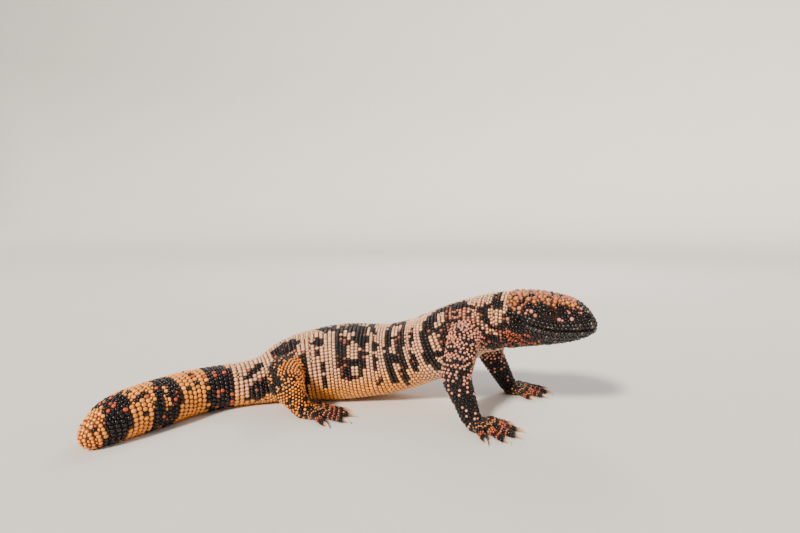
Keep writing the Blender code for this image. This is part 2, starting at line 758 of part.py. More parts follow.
def finish(objects, material):
    """Give each object its material and flat, faceted shading."""
    for obj in objects:
        obj.data.materials.clear()
        obj.data.materials.append(material)


def build_body(materials):
    """Neck, trunk and tail, with the limbs' stumps joined to the trunk."""
    body = body_tube()
    trunk = {name: [] for name in BODY_CUTS}
    for name, limb in LIMBS.items():
        build_limb(name, limb, body, trunk, materials)
    names = list(BODY_CUTS) + ["tail_end"]
    cuts = [0.0] + [cut * MM for cut in BODY_CUTS.values()] + [body.length]
    for name, start, end in zip(names, cuts, cuts[1:]):
        last = name == "tail_end"
        rows = rows_between(start + GAP / 2, end - (0 if last else GAP / 2), BODY_ROW, last)
        sides = TAIL_SIDES if name.startswith("tail") else BODY_SIDES
        node = beaded_length(name, body, rows, sides, BEAD_HEIGHT)
        if trunk.get(name):
            apply_boolean(node, "UNION", trunk[name])
            keep_largest(node)
        finish([node], materials["tail" if name.startswith("tail") else "trunk"])


def centre_on_origin():
    """Move the model so that the middle of its box stands on the origin."""
    corners = [obj.matrix_world @ vert.co for obj in bpy.data.objects for vert in obj.data.vertices]
    low = Vector([min(corner[k] for corner in corners) for k in range(3)])
    high = Vector([max(corner[k] for corner in corners) for k in range(3)])
    shift = Matrix.Translation((-(low.x + high.x) / 2, -(low.y + high.y) / 2, -low.z))
    for obj in bpy.data.objects:
        obj.data.transform(shift)
    print("shift", [round(value, 6) for value in shift.translation], "size", high - low)


def main():
    clear_scene()
    materials = {
        "head": principled("head_skin", (0.055, 0.035, 0.032), 0.5),
        "trunk": principled("trunk_skin", (0.70, 0.50, 0.34), 0.55),
        "tail": principled("tail_skin", (0.74, 0.45, 0.24), 0.55),
        "limb": principled("limb_skin", (0.28, 0.13, 0.08), 0.5),
        "eye": principled("eye_dark", (0.012, 0.010, 0.010), 0.12),
        "claw": principled("claw_horn", (0.72, 0.58, 0.38), 0.35),
    }
    build_head(materials)
    build_body(materials)
    bpy.context.view_layer.update()
    centre_on_origin()


main()
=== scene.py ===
# %% [markdown]
# # Dressing a gila monster
#
# The imported model is a stout desert lizard that stands with its chest and head raised.
# Here its plain solids get what makes the real animal: a hide of small bony beads, each
# one a separate dome, in bands and blotches of black and of pale orange.
# The solids stay the measure of everything, so the first step is to load them.

# %% Load the frame
import math
import time

import bmesh
import bpy
import numpy as np
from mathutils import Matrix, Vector, noise
from mathutils.bvhtree import BVHTree
from mathutils.kdtree import KDTree


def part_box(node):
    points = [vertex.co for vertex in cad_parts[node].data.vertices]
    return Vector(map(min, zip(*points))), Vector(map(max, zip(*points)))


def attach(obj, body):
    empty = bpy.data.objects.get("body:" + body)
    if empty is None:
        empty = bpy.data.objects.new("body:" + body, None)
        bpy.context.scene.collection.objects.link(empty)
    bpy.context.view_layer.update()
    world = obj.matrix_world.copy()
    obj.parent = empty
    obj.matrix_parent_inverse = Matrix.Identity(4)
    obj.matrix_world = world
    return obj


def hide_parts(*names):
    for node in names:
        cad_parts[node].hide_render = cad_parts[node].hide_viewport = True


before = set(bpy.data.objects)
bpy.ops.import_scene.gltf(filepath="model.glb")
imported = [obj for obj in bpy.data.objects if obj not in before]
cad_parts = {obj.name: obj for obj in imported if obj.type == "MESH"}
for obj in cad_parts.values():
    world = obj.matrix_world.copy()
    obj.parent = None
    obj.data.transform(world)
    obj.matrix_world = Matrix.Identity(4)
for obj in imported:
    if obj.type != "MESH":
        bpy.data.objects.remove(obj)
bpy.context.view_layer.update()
began = time.perf_counter()


def so_far():
    """Seconds since the script began."""
    return round(time.perf_counter() - began, 1)


print("nodes", len(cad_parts))

# %% [markdown]
# ## The sizes that shape the animal
#
# The solids came from a few named sizes. They are repeated here, in millimetres where it
# says so, because the skin has to run along the same lines. A head and a body could be
# sculpted by hand instead, but named sections keep skin, beads and markings in step.

# %% Head and body sections
MM = 0.001
HEAD_LENGTH = 65.8 * MM
HEAD_YAW = math.radians(-24.3)
HEAD_TILT = math.radians(2.9)
NECK_JOINT = np.array((95.7, -2.9, 74.8)) * MM
JAW_CORNER = 17.0 * MM
EYE_RADIUS = 3.4 * MM
EYE_ALONG = 34.4 * MM
EYE_ABOVE_MOUTH = 14.5 * MM
EYE_LOOKS = (0.25, 0.92, 0.30)  # forward, sideways and up
EYE_SUNK = 0.62

# From the neck joint: distance, half width, height above the mouth line, depth below it
HEAD_SECTIONS = (
    (0.0, 24.4, 29.8, 16.9),
    (6.0, 27.0, 30.1, 15.6),
    (16.0, 28.4, 30.0, 14.2),
    (26.0, 26.4, 29.2, 12.8),
    (36.0, 22.8, 27.2, 11.4),
    (46.0, 19.2, 24.4, 9.8),
    (54.0, 16.2, 20.3, 7.7),
    (60.0, 12.8, 14.9, 5.2),
    (63.6, 9.0, 9.6, 3.0),
    (65.8, 3.6, 5.2, 1.2),
)
# From neck to tail: x, y, z of the side line, half width, height above it, depth below it
BODY_STATIONS = (
    (84.8, 2.0, 74.2, 23.2, 28.6, 19.8),
    (75.5, 7.0, 72.8, 23.8, 27.2, 21.2),
    (65.2, 13.0, 70.0, 26.6, 26.2, 22.6),
    (55.0, 18.3, 65.0, 30.0, 27.2, 26.0),
    (44.5, 23.0, 59.0, 32.6, 28.3, 29.5),
    (18.3, 35.0, 46.5, 34.5, 27.8, 30.7),
    (-18.6, 43.0, 35.5, 37.0, 31.6, 31.6),
    (-50.4, 45.0, 32.8, 38.5, 34.0, 33.4),
    (-83.6, 42.0, 29.4, 36.0, 31.2, 30.2),
    (-105.9, 37.0, 25.0, 30.0, 26.4, 26.2),
    (-125.3, 30.0, 19.6, 23.5, 19.8, 20.3),
    (-143.5, 22.0, 17.9, 19.8, 18.2, 18.4),
    (-163.6, 10.0, 17.6, 19.0, 18.2, 18.2),
    (-181.0, -8.0, 17.8, 18.8, 18.4, 18.4),
    (-196.7, -34.0, 17.6, 18.4, 18.1, 18.2),
    (-207.5, -50.0, 17.0, 17.6, 17.4, 17.6),
    (-214.0, -62.5, 15.4, 15.4, 15.6, 16.0),
    (-218.0, -71.5, 13.3, 12.0, 12.6, 13.7),
    (-221.3, -78.6, 10.8, 8.0, 8.6, 11.1),
    (-223.2, -82.8, 9.2, 4.6, 5.0, 7.5),
    (-224.1, -84.8, 8.4, 1.9, 2.1, 3.2),
)

# %% [markdown]
# ## A tube that can be asked where its skin is
#
# Head and body are tubes along a curved line, whose section changes from station to
# station. A monotone cubic curve runs through the stations without overshooting. Asking
# the tube for whole arrays of places at once is what keeps this script quick.

# %% Tubes


def unit(vectors):
    """The same directions, each one long."""
    return vectors / np.maximum(np.linalg.norm(vectors, axis=-1, keepdims=True), 1e-12)


def knot_slopes(knots, table):
    """Slopes of a monotone cubic curve through the rows of a table."""
    steps = np.diff(knots)[:, None]
    rises = np.diff(table, axis=0) / steps
    before, after = rises[:-1], rises[1:]
    heavy = 2 * steps[1:] + steps[:-1]
    light = steps[1:] + 2 * steps[:-1]
    same_way = before * after > 0
    shares = heavy / np.where(same_way, before, 1.0) + light / np.where(same_way, after, 1.0)
    inner = np.where(same_way, (heavy + light) / np.where(shares == 0, 1.0, shares), 0.0)
    return np.vstack((rises[:1], inner, rises[-1:]))


class Tube:
    """A tube along a curved line. Angle 0 is its left side line, and a quarter turn its back."""

    def __init__(self, stations, boxy_top, boxy_bottom, first_direction=None):
        self.table = np.array(stations, float)
        steps = np.linalg.norm(np.diff(self.table[:, :3], axis=0), axis=1)
        self.knots = np.concatenate(([0.0], np.cumsum(steps)))
        self.slopes = knot_slopes(self.knots, self.table)
        self.length = self.knots[-1]
        self.powers = (boxy_top, boxy_bottom)
        self.first_direction = first_direction

    def read(self, along):
        """x, y, z, half width, height and depth at each distance along the line."""
        i = np.clip(np.searchsorted(self.knots, along, side="right") - 1, 0, len(self.knots) - 2)
        width = (self.knots[i + 1] - self.knots[i])[:, None]
        t = np.clip((along - self.knots[i])[:, None] / width, 0.0, 1.0)
        start = (1 + 2 * t) * (1 - t) ** 2 * self.table[i]
        start = start + t * (1 - t) ** 2 * width * self.slopes[i]
        end = t * t * (3 - 2 * t) * self.table[i + 1]
        end = end + t * t * (t - 1) * width * self.slopes[i + 1]
        return start + end

    def frames(self, along):
        """Forward, left and up at each distance along the line."""
        behind = self.read(np.maximum(along - MM, 0.0))[:, :3]
        ahead = self.read(np.minimum(along + MM, self.length))[:, :3]
        forward = unit(behind - ahead)
        if self.first_direction is not None:
            forward[along < MM] = self.first_direction
        left = unit(np.cross((0.0, 0.0, 1.0), forward))
        return forward, left, np.cross(forward, left)

    def surface(self, along, angle, raised=0.0):
        """Points on the skin, or a little off it."""
        along, angle = np.broadcast_arrays(np.asarray(along, float), np.asarray(angle, float))
        shape = along.shape
        along, angle = along.ravel(), angle.ravel()
        values = self.read(along)
        _, left, up = self.frames(along)
        c, s = np.cos(angle), np.sin(angle)
        rise = np.where(s >= 0, values[:, 4], values[:, 5])
        power = np.where(s >= 0, self.powers[0], self.powers[1])
        across = np.sign(c) * np.abs(c) ** (2 / power) * values[:, 3]
        above = np.sign(s) * np.abs(s) ** (2 / power) * rise
        radial = left * across[:, None] + up * above[:, None]
        points = values[:, :3] + radial + unit(radial) * raised
        return points.reshape(*shape, 3)


# %% The head's own directions


def head_directions():
    """Forward, left and up of the head."""
    flat = math.cos(HEAD_TILT)
    forward = np.array((math.cos(HEAD_YAW) * flat, math.sin(HEAD_YAW) * flat, math.sin(HEAD_TILT)))
    left = unit(np.cross((0.0, 0.0, 1.0), forward))
    return forward, left, np.cross(forward, left)


HEAD_FORWARD, HEAD_LEFT, HEAD_UP = head_directions()


def head_point(along, left_of, above):
    """A point in the head's own directions, from the neck joint, before the model is centred."""
    return NECK_JOINT + HEAD_FORWARD * along + HEAD_LEFT * left_of + HEAD_UP * above


# How boxy the sections are above and below the side line: 2 is an oval, and more is squarer
HEAD_BOXY = (2.5, 2.2)
BODY_BOXY = (2.15, 2.2)


def make_tubes(shift):
    """Head and body tubes, moved by the shift that centres the model."""
    head_rows = []
    for along, width, height, depth in reversed(HEAD_SECTIONS):
        place = head_point(along * MM, 0, 0) + shift
        head_rows.append((*place, width * MM, height * MM, depth * MM))
    _, width, height, depth = HEAD_SECTIONS[0]
    body_rows = [(*(NECK_JOINT + shift), width * MM, height * MM, depth * MM)]
    for station in BODY_STATIONS:
        values = np.array(station) * MM
        values[:3] += shift
        body_rows.append(tuple(values))
    return Tube(head_rows, *HEAD_BOXY), Tube(body_rows, *BODY_BOXY, HEAD_FORWARD)


head, body = make_tubes(np.zeros(3))
print("head mm", round(head.length / MM, 1), "neck, trunk and tail mm", round(body.length / MM, 1))

# %% [markdown]
# ## Where the model stands
#
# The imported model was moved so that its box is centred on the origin. The right eye is a
# ball whose place follows from the sizes above, so the middle of its node tells the move.

# %% The shift from the eye


def eye_place(side):
    """The eyeball's centre and the way it looks, from the head's own sizes."""
    values = head.read(np.array([HEAD_LENGTH - EYE_ALONG]))[0]
    power = head.powers[0]
    reach = (1 - (EYE_ABOVE_MOUTH / values[4]) ** power) ** (1 / power) * values[3]
    ahead, aside, upward = EYE_LOOKS
    outward = unit(HEAD_LEFT * side * aside + HEAD_UP * upward + HEAD_FORWARD * ahead)
    surface = head_point(EYE_ALONG, side * reach, EYE_ABOVE_MOUTH)
    return surface - outward * EYE_RADIUS * EYE_SUNK, outward


low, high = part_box("eye_right")
SHIFT = np.array((low + high) / 2) - eye_place(-1)[0]
head, body = make_tubes(SHIFT)
HEAD_ORIGIN = NECK_JOINT + SHIFT
EYES = {}
for side, word in ((-1, "right"), (1, "left")):
    centre, outward = eye_place(side)
    EYES[word] = (centre + SHIFT, outward)
print("shift in mm", np.round(SHIFT / MM, 2))

# %% [markdown]
# ## Limbs
#
# Each leg is an upper part, a lower part, a wrist or ankle, a pad and five digits. They
# could be pulled out of one box by hand, but here all of them are short sleeves: a line of
# places with a width and a height. A sleeve's sideways direction is carried along its line
# so that it never twists, and so it can be asked for places as a tube can.

# %% The limbs' sizes
# Radii at the root, at elbow or knee, below it and at the wrist or ankle; lengths of the
# digits from the inner to the outer one; half width, half height and half length of the pad
FORE = {
    "radii": (13.5, 11.6, 9.6, 8.0),
    "digits": (15.5, 21.0, 23.0, 22.0, 16.5),
    "palm": (11.0, 4.8, 9.0),
}
HIND = {
    "radii": (15.5, 13.2, 10.6, 8.6),
    "digits": (13.5, 20.0, 24.0, 25.0, 18.5),
    "palm": (10.8, 5.2, 11.0),
}
# Side of the body, distance along it from the neck joint, degrees below its side line, then
# the places of elbow or knee, wrist or ankle and pad, and the way the digits point
LIMBS = {
    "fore_right": {
        **FORE,
        "side": -1,
        "along": 35.0,
        "below": 9.0,
        "joints": ((44.5, -29.0, 39.0), (54.5, -37.0, 12.5), (62.0, -41.5, 6.0)),
        "heading": -38.0,
    },
    "fore_left": {
        **FORE,
        "side": 1,
        "along": 35.0,
        "below": 9.0,
        "joints": ((86.0, 55.0, 39.0), (101.0, 54.0, 12.5), (109.0, 51.5, 6.0)),
        "heading": -8.0,
    },
    "hind_right": {
        **HIND,
        "side": -1,
        "along": 219.0,
        "below": -12.0,
        "joints": ((-92.5, -17.0, 27.5), (-84.0, -13.5, 11.5), (-75.5, -11.5, 6.2)),
        "heading": -7.0,
    },
    "hind_left": {
        **HIND,
        "side": 1,
        "along": 223.0,
        "below": 4.0,
        "joints": ((-119.5, 88.0, 24.5), (-108.5, 89.0, 11.0), (-99.0, 94.5, 6.2)),
        "heading": 30.0,
    },
}
# Degrees that each digit turns away from the foot's heading, and radii at root, joint and tip
DIGIT_SPREAD = (-50.0, -25.0, -4.0, 17.0, 40.0)
DIGIT_RADII = (3.5, 3.1, 2.55)
LIMB_STANDOFF = 4.0 * MM
print("limbs", len(LIMBS), "digits on each", len(DIGIT_SPREAD))

# %% Sleeves


def catmull(values, per_span):
    """Rows of values on a smooth curve through the given ones."""
    values = np.array(values, float)
    padded = np.vstack((values[:1], values, values[-1:]))
    t = (np.arange(per_span) / per_span)[:, None]
    made = []
    for i in range(1, len(padded) - 2):
        a, b, c, d = padded[i - 1 : i + 3]
        made.append(
            a * (-0.5 * t + t * t - 0.5 * t**3)
            + b * (1 - 2.5 * t * t + 1.5 * t**3)
            + c * (0.5 * t + 2 * t * t - 1.5 * t**3)
            + d * (-0.5 * t * t + 0.5 * t**3)
        )
    made.append(values[-1:])
    return np.vstack(made)


class Sleeve:
    """A round or flattened tube along a short line of (x, y, z, half width, half height)."""

    def __init__(self, rows, per_span=12, level=False):
        self.rows = catmull(rows, per_span)
        places = self.rows[:, :3]
        steps = np.linalg.norm(np.diff(places, axis=0), axis=1)
        self.knots = np.concatenate(([0.0], np.cumsum(steps)))
        self.length = self.knots[-1]
        self.direction = unit(np.gradient(places, axis=0))
        self.across = self.carry(level)
        self.upper = np.cross(self.across, self.direction)

    def carry(self, level):
        """The sideways direction at each row, turned as little as the line allows."""
        first = np.cross(self.direction[0], (0.0, 0.0, 1.0))
        if np.linalg.norm(first) < 0.15 and not level:
            first = np.cross(self.direction[0], (1.0, 0.0, 0.0))
        made = []
        for direction in self.direction:
            first = unit(first - direction * first.dot(direction))
            made.append(first)
        return np.array(made)

    def at(self, values, along):
        """Each column of values, read at distances along the line."""
        return np.stack([np.interp(along, self.knots, column) for column in values.T], axis=-1)

    def surface(self, along, angle, raised=0.0):
        """Points on the sleeve. Angle 0 is one side, and a quarter turn is its upper side."""
        along, angle = np.broadcast_arrays(np.asarray(along, float), np.asarray(angle, float))
        rows = self.at(self.rows, along)
        across, upper = self.at(self.across, along), self.at(self.upper, along)
        sideways = (np.cos(angle) * (rows[..., 3] + raised))[..., None]
        upwards = (np.sin(angle) * (rows[..., 4] + raised))[..., None]
        return rows[..., :3] + across * sideways + upper * upwards


# %% Where limbs and digits lie


def limb_root(limb):
    """Where a limb leaves the trunk, and the skin's outward direction there."""
    angle = math.radians(-limb["below"])
    if limb["side"] < 0:
        angle = math.pi - angle
    along = limb["along"] * MM
    reach = limb["radii"][0] * MM
    turn = reach / body.read(np.array([along]))[0, 3]
    lengthwise = body.surface(along - reach, angle) - body.surface(along + reach, angle)
    crosswise = body.surface(along, angle + turn) - body.surface(along, angle - turn)
    return body.surface(along, angle), unit(np.cross(crosswise, lengthwise))


def digit_rows(knuckle, bearing, length):
    """A digit that arches from the knuckle and comes down on its tip."""
    ahead = np.array((math.cos(bearing), math.sin(bearing), 0.0))
    root, middle, tip = (radius * MM for radius in DIGIT_RADII)
    start = knuckle - ahead * 4.5 * MM
    joint = knuckle + ahead * length * 0.45
    end = knuckle + ahead * length
    start[2], joint[2], end[2] = 4.4 * MM, middle + 1.6 * MM, tip + 0.2 * MM
    rise = np.array((0.0, 0.0, 0.6 * MM))
    return [
        (*start, root, root),
        (*(knuckle + (joint - knuckle) * 0.35 + rise), root, root),
        (*joint, middle, middle),
        (*(joint + (end - joint) * 0.6), (middle + tip) / 2, (middle + tip) / 2),
        (*end, tip, tip),
    ]


def leg_sleeves(limb, foot):
    """Upper part, lower part and wrist. Upper and lower end in round caps inside their joint."""
    surface, outward = limb_root(limb)
    middle, end = (np.array(joint) * MM + SHIFT for joint in limb["joints"][:2])
    at_root, at_middle, below_middle, at_end = (radius * MM for radius in limb["radii"])
    root = surface + outward * LIMB_STANDOFF
    bulge = outward * 0.1 * np.linalg.norm(middle - root)
    half = (at_root + at_middle) / 2
    upper = [(surface - outward * at_root, at_root), (root, at_root)]
    upper += [((root + middle) / 2 + bulge, half), (middle, at_middle)]
    upper += [(middle + unit(middle - root) * at_middle * 0.5, at_middle * 0.66)]
    down = unit(end - middle)
    lower = [(middle - down * at_middle * 0.55, at_middle * 0.6), (middle, at_middle * 0.97)]
    lower += [(middle + (end - middle) * 0.6, below_middle), (end, at_end)]
    wrist = [(end, at_end), (end + down * 3 * MM, at_end * 0.96)]
    wrist += [((end + foot) / 2 + down * 3 * MM, at_end * 0.8)]
    sleeves = {}
    for name, line in (("upper", upper), ("lower", lower), ("wrist", wrist)):
        sleeves[name] = Sleeve([(*place, radius, radius) for place, radius in line])
    return sleeves


# From heel to toes: place, half width and half height, as shares of the pad's own
PAD_SECTIONS = ((-1, 0.5, 0.6), (-0.6, 0.85, 0.95), (0, 1, 1), (0.6, 1, 0.9), (1, 0.7, 0.65))


def pad_sleeve(limb, foot, ahead):
    """The palm or sole, a flattened pad that lies on the floor."""
    half_width, half_height, half_length = (value * MM for value in limb["palm"])
    rows = []
    for share, width, height in PAD_SECTIONS:
        centre = foot + ahead * half_length * share
        centre[2] = half_height * height - 0.4 * MM
        rows.append((*centre, half_width * width, half_height * height))
    return Sleeve(rows, level=True)


def digit_sleeves(limb, foot, ahead):
    """Five digits that fan out from the pad. The middle one is rooted farthest forward."""
    half_width, _, half_length = (value * MM for value in limb["palm"])
    across = np.array((-ahead[1], ahead[0], 0.0)) * limb["side"]
    sleeves = {}
    for digit, spread in enumerate(DIGIT_SPREAD):
        outer = (digit - 2) / 2
        share = 0.75 - 0.45 * outer * outer
        knuckle = foot + ahead * half_length * share + across * half_width * 0.78 * outer
        bearing = math.radians(limb["heading"]) + math.radians(spread) * limb["side"]
        rows = digit_rows(knuckle, bearing, limb["digits"][digit] * MM)
        sleeves[f"digit_{digit + 1}"] = Sleeve(rows)
    return sleeves


def limb_sleeves(limb):
    """The named sleeves of one limb, in the order in which they follow each other."""
    foot = np.array(limb["joints"][2]) * MM + SHIFT
    heading = math.radians(limb["heading"])
    ahead = np.array((math.cos(heading), math.sin(heading), 0.0))
    sleeves = leg_sleeves(limb, foot)
    sleeves["pad"] = pad_sleeve(limb, foot, ahead)
    sleeves.update(digit_sleeves(limb, foot, ahead))
    return sleeves


limbs = {name: limb_sleeves(limb) for name, limb in LIMBS.items()}
print("sleeves", sum(len(sleeves) for sleeves in limbs.values()))

# %% [markdown]
# ## The skin
#
# A reptile's skin is one sheet, with no seam where a leg meets the trunk. Every tube and
# sleeve is laid as a closed mesh, all of them are put in one, and a voxel remesh wraps a
# single surface round the lot. A Boolean union would keep sharp creases where legs leave
# the trunk, and the remesh melts them. The skin lies a little inside the solids, because
# the beads stand on it.

# %% One skin round all the flesh
SKIN_DEPTH = 0.35 * MM
VOXEL = 0.9 * MM


def ring_points(shape, spacing, sides, start=0.0, end=None):
    """Rings of points along a tube or sleeve, an array of rows by sides by 3."""
    end = shape.length if end is None else end
    rows = max(3, round((end - start) / spacing) + 1)
    along = np.linspace(start, end, rows)[:, None]
    angle = np.linspace(0.0, math.tau, sides, endpoint=False)[None, :]
    return shape.surface(along, angle, -SKIN_DEPTH), along, angle


def ring_faces(rows, sides, first=0):
    """Quads between rings, and a face that closes each end."""
    index = np.arange(rows * sides).reshape(rows, sides) + first
    following = np.roll(index, -1, axis=1)
    quads = np.stack((index[:-1], following[:-1], following[1:], index[1:]), axis=-1)
    return quads.reshape(-1, 4).tolist() + [index[0, ::-1].tolist(), index[-1].tolist()]


def mesh_object(name, points, faces):
    """A new object over points and faces, in the scene."""
    mesh = bpy.data.meshes.new(name)
    mesh.from_pydata(np.asarray(points).reshape(-1, 3).tolist(), [], faces)
    obj = bpy.data.objects.new(name, mesh)
    bpy.context.scene.collection.objects.link(obj)
    return obj


def apply_modifiers(obj):
    """Replace an object's mesh by what its modifiers make of it."""
    graph = bpy.context.evaluated_depsgraph_get()
    mesh = bpy.data.meshes.new_from_object(obj.evaluated_get(graph))
    obj.modifiers.clear()
    obj.data = mesh


# %% Wrap the flesh in one sheet
TUBE_SIDES, SLEEVE_SIDES, COLLAR_SIDES = 120, 40, 60

flesh = [("body", "trunk", body, ring_points(body, 1.5 * MM, TUBE_SIDES))]
flesh.append(("head", "head", head, ring_points(head, 1.0 * MM, TUBE_SIDES)))
for name, sleeves in limbs.items():
    for part, sleeve in sleeves.items():
        flesh.append((name, part, sleeve, ring_points(sleeve, 1.0 * MM, SLEEVE_SIDES)))
# a collar inside the neck joins the ends of head and body, so that no gap is left there
round_neck = np.linspace(0, math.tau, COLLAR_SIDES, endpoint=False)
collar = body.surface(np.array([[8.0 * MM], [0.0], [0.0]]), round_neck, -1.5 * MM)
collar[2] = collar[1] + HEAD_FORWARD * 6 * MM

points, faces = [], []
for rings in [made[0] for _, _, _, made in flesh] + [collar]:
    faces += ring_faces(*rings.shape[:2], first=sum(len(block) for block in points))
    points.append(rings.reshape(-1, 3))
skin = mesh_object("skin", np.vstack(points), faces)
remesh = skin.modifiers.new("one_sheet", "REMESH")
remesh.mode = "VOXEL"
remesh.voxel_size = VOXEL
apply_modifiers(skin)
print("skin vertices", len(skin.data.vertices), "seconds", so_far())

# %% [markdown]
# ## Softening the creases
#
# The remesh leaves small steps, and the legs still meet the trunk sharply. Averaging each
# vertex with its neighbours smooths both. It is done a few times everywhere, and many
# more times where a leg leaves the trunk, as muscle and loose skin fill that corner.
# Elbows and knees get a little of it too.

# %% Smooth the skin


def vertex_array(mesh):
    """The places of a mesh's vertices."""
    co = np.empty(len(mesh.vertices) * 3)
    mesh.vertices.foreach_get("co", co)
    return co.reshape(-1, 3)


def edge_array(mesh):
    """The two vertices of each edge."""
    ends = np.empty(len(mesh.edges) * 2, np.int32)
    mesh.edges.foreach_get("vertices", ends)
    return ends.reshape(-1, 2)


def relaxed(co, ends, weight, times):
    """Places moved towards the middle of their neighbours, each by its own weight."""
    a, b = ends.T
    degree = np.bincount(ends.ravel(), minlength=len(co))[:, None]
    for _ in range(times):
        total = np.zeros_like(co)
        for axis in range(3):
            from_b = np.bincount(a, co[b, axis], len(co))
            from_a = np.bincount(b, co[a, axis], len(co))
            total[:, axis] = from_b + from_a
        co = co + (total / np.maximum(degree, 1) - co) * weight[:, None]
    return co


# %% Where to smooth more
co = vertex_array(skin.data)
ends = edge_array(skin.data)
near_root = np.zeros(len(co))
for limb in LIMBS.values():
    surface, outward = limb_root(limb)
    reach = limb["radii"][0] * MM
    from_root = np.linalg.norm(co - surface, axis=1)
    near_root = np.maximum(near_root, np.clip(1.9 - from_root / (reach * 1.05), 0.0, 1.0))
    joint = np.array(limb["joints"][0]) * MM + SHIFT
    from_joint = np.linalg.norm(co - joint, axis=1) / (limb["radii"][1] * MM)
    near_root = np.maximum(near_root, 0.35 * np.clip(2.2 - from_joint, 0.0, 1.0))
co = relaxed(co, ends, np.full(len(co), 0.5), 5)
co = relaxed(co, ends, 0.6 * near_root, 45)
print("smoothed", len(co), "vertices")

# %% [markdown]
# ## The face and the folds
#
# The head is the part that people look at. The skin there is pushed in and out by small
# named forms: a brow over the eye, a hollow before it, the full muscle behind the jaw, a
# groove for the mouth, and pits for nostrils and ears. Each form is a soft bump at a
# place in the head's own directions. Loose skin hangs in folds at throat and neck.

# %% Soft forms on the head
MOUTH_LEVEL = 0.9 * MM
MOUTH_LIFT = 6.8 * MM
MOUTH_SAG = 1.0 * MM
MOUTH_DEPTH = 2.1 * MM
LIP_SWELLING = 0.35 * MM
NOSTRIL = (60.6 * MM, 10.4 * MM, 10.2 * MM)
EAR = (9.5 * MM, 28.2 * MM, 7.5 * MM)
# How far along, to the side and above; then how wide and high, and how far out
HEAD_FORMS = {
    "brow": ((33.5, 20.5, 20.5), (7.5, 4.5, 3.4), 1.5),
    "hollow before the eye": ((44.0, 19.0, 12.0), (4.5, 5.0, 4.0), -1.2),
    "snout ridge": ((53.0, 13.0, 17.0), (6.0, 4.0, 4.0), 0.6),
    "nostril swelling": ((60.0, 10.5, 11.0), (3.2, 4.0, 3.0), 0.7),
    "jaw muscle": ((12.0, 28.0, 12.0), (8.0, 8.0, 7.5), 1.3),
    "hollow behind the eye": ((25.0, 26.0, 15.0), (4.0, 6.0, 4.0), -0.9),
    "cheek": ((23.0, 26.0, 5.0), (7.0, 6.0, 3.5), 0.7),
    "crown groove": ((18.0, 0.0, 30.0), (16.0, 3.5, 8.0), -0.7),
}


def in_head(points):
    """Distance along, to the left and above the mouth line, in the head's own directions."""
    moved = points - HEAD_ORIGIN
    return np.stack((moved @ HEAD_FORWARD, moved @ HEAD_LEFT, moved @ HEAD_UP), axis=-1)


def soft_bump(local, place, size):
    """1 at a place and falling off smoothly, alike on both sides of the head."""
    folded = np.stack((local[:, 0], np.abs(local[:, 1]), local[:, 2]), axis=-1)
    offset = (folded - np.array(place) * MM) / (np.array(size) * MM)
    return np.exp(-0.5 * (offset**2).sum(axis=1))


def mouth_height(along):
    """Height of the mouth line in the head. It sags midway and rises to its corner."""
    share = np.clip((along - JAW_CORNER) / (HEAD_LENGTH - JAW_CORNER), 0.0, 1.0)
    return MOUTH_LEVEL + MOUTH_LIFT * (1 - share) ** 3 - MOUTH_SAG * np.sin(math.pi * share) ** 2


# %% Shape the head


def vertex_normals(mesh):
    """The smooth normal at each vertex."""
    normals = np.empty(len(mesh.vertices) * 3)
    mesh.vertex_normals.foreach_get("vector", normals)
    return normals.reshape(-1, 3)


def set_vertices(mesh, co):
    """Move a mesh's vertices, and let it work out its normals again."""
    mesh.vertices.foreach_set("co", co.ravel())
    mesh.update()


def shape_head(co, normals):
    """Move the head's skin along its normals by each form, the mouth groove and the pits."""
    local = in_head(co)
    on_head = np.clip((local[:, 0] + 6 * MM) / (8 * MM), 0.0, 1.0)
    move = np.zeros(len(co))
    for place, size, out in HEAD_FORMS.values():
        move += soft_bump(local, place, size) * out * MM
    off_line = (local[:, 2] - mouth_height(local[:, 0])) / (0.75 * MM)
    in_mouth = np.clip((local[:, 0] - JAW_CORNER) / (3 * MM), 0.0, 1.0)
    move -= np.exp(-(off_line**2)) * in_mouth * MOUTH_DEPTH
    off_lip = (np.abs(local[:, 2] - mouth_height(local[:, 0])) - 2.2 * MM) / (1.2 * MM)
    move += np.exp(-(off_lip**2)) * in_mouth * LIP_SWELLING
    move -= soft_bump(local, np.array(NOSTRIL) / MM, (1.5, 3.0, 1.3)) * 3.2 * MM
    move -= soft_bump(local, np.array(EAR) / MM, (1.3, 3.0, 3.4)) * 3.0 * MM
    return co + normals * (move * on_head)[:, None]


set_vertices(skin.data, co)
co = shape_head(co, vertex_normals(skin.data))
print("head forms", len(HEAD_FORMS))

# %% Folds of loose skin
# Along the body, degrees down from the back where the fold begins and ends, how far it
# leans back as it goes down, its width and its depth
FOLDS = (
    ((3.5, 95.0, 180.0, 0.02), (1.6, 1.5)),
    ((12.0, 70.0, 180.0, -0.03), (1.8, 1.3)),
    ((22.0, 46.0, 108.0, -0.22), (1.4, 1.3)),
    ((27.0, 52.0, 88.0, -0.42), (1.4, 1.2)),
    ((240.0, 60.0, 125.0, 0.02), (2.0, 1.0)),
)
FOLD_REACH = 75 * MM  # no skin farther than this from a fold's top is looked at
NET_STEP = 2.0  # mm along the body
NET_TURN = 4.0  # degrees round it


def search_tree(places):
    """A tree that quickly finds the nearest of many places."""
    tree = KDTree(len(places))
    for i, place in enumerate(places):
        tree.insert(place, i)
    tree.balance()
    return tree


def from_back(degrees):
    """Degrees round from the middle of the back, from -180 to 180 and below 0 on the left."""
    return (degrees - 90.0 + 180.0) % 360.0 - 180.0


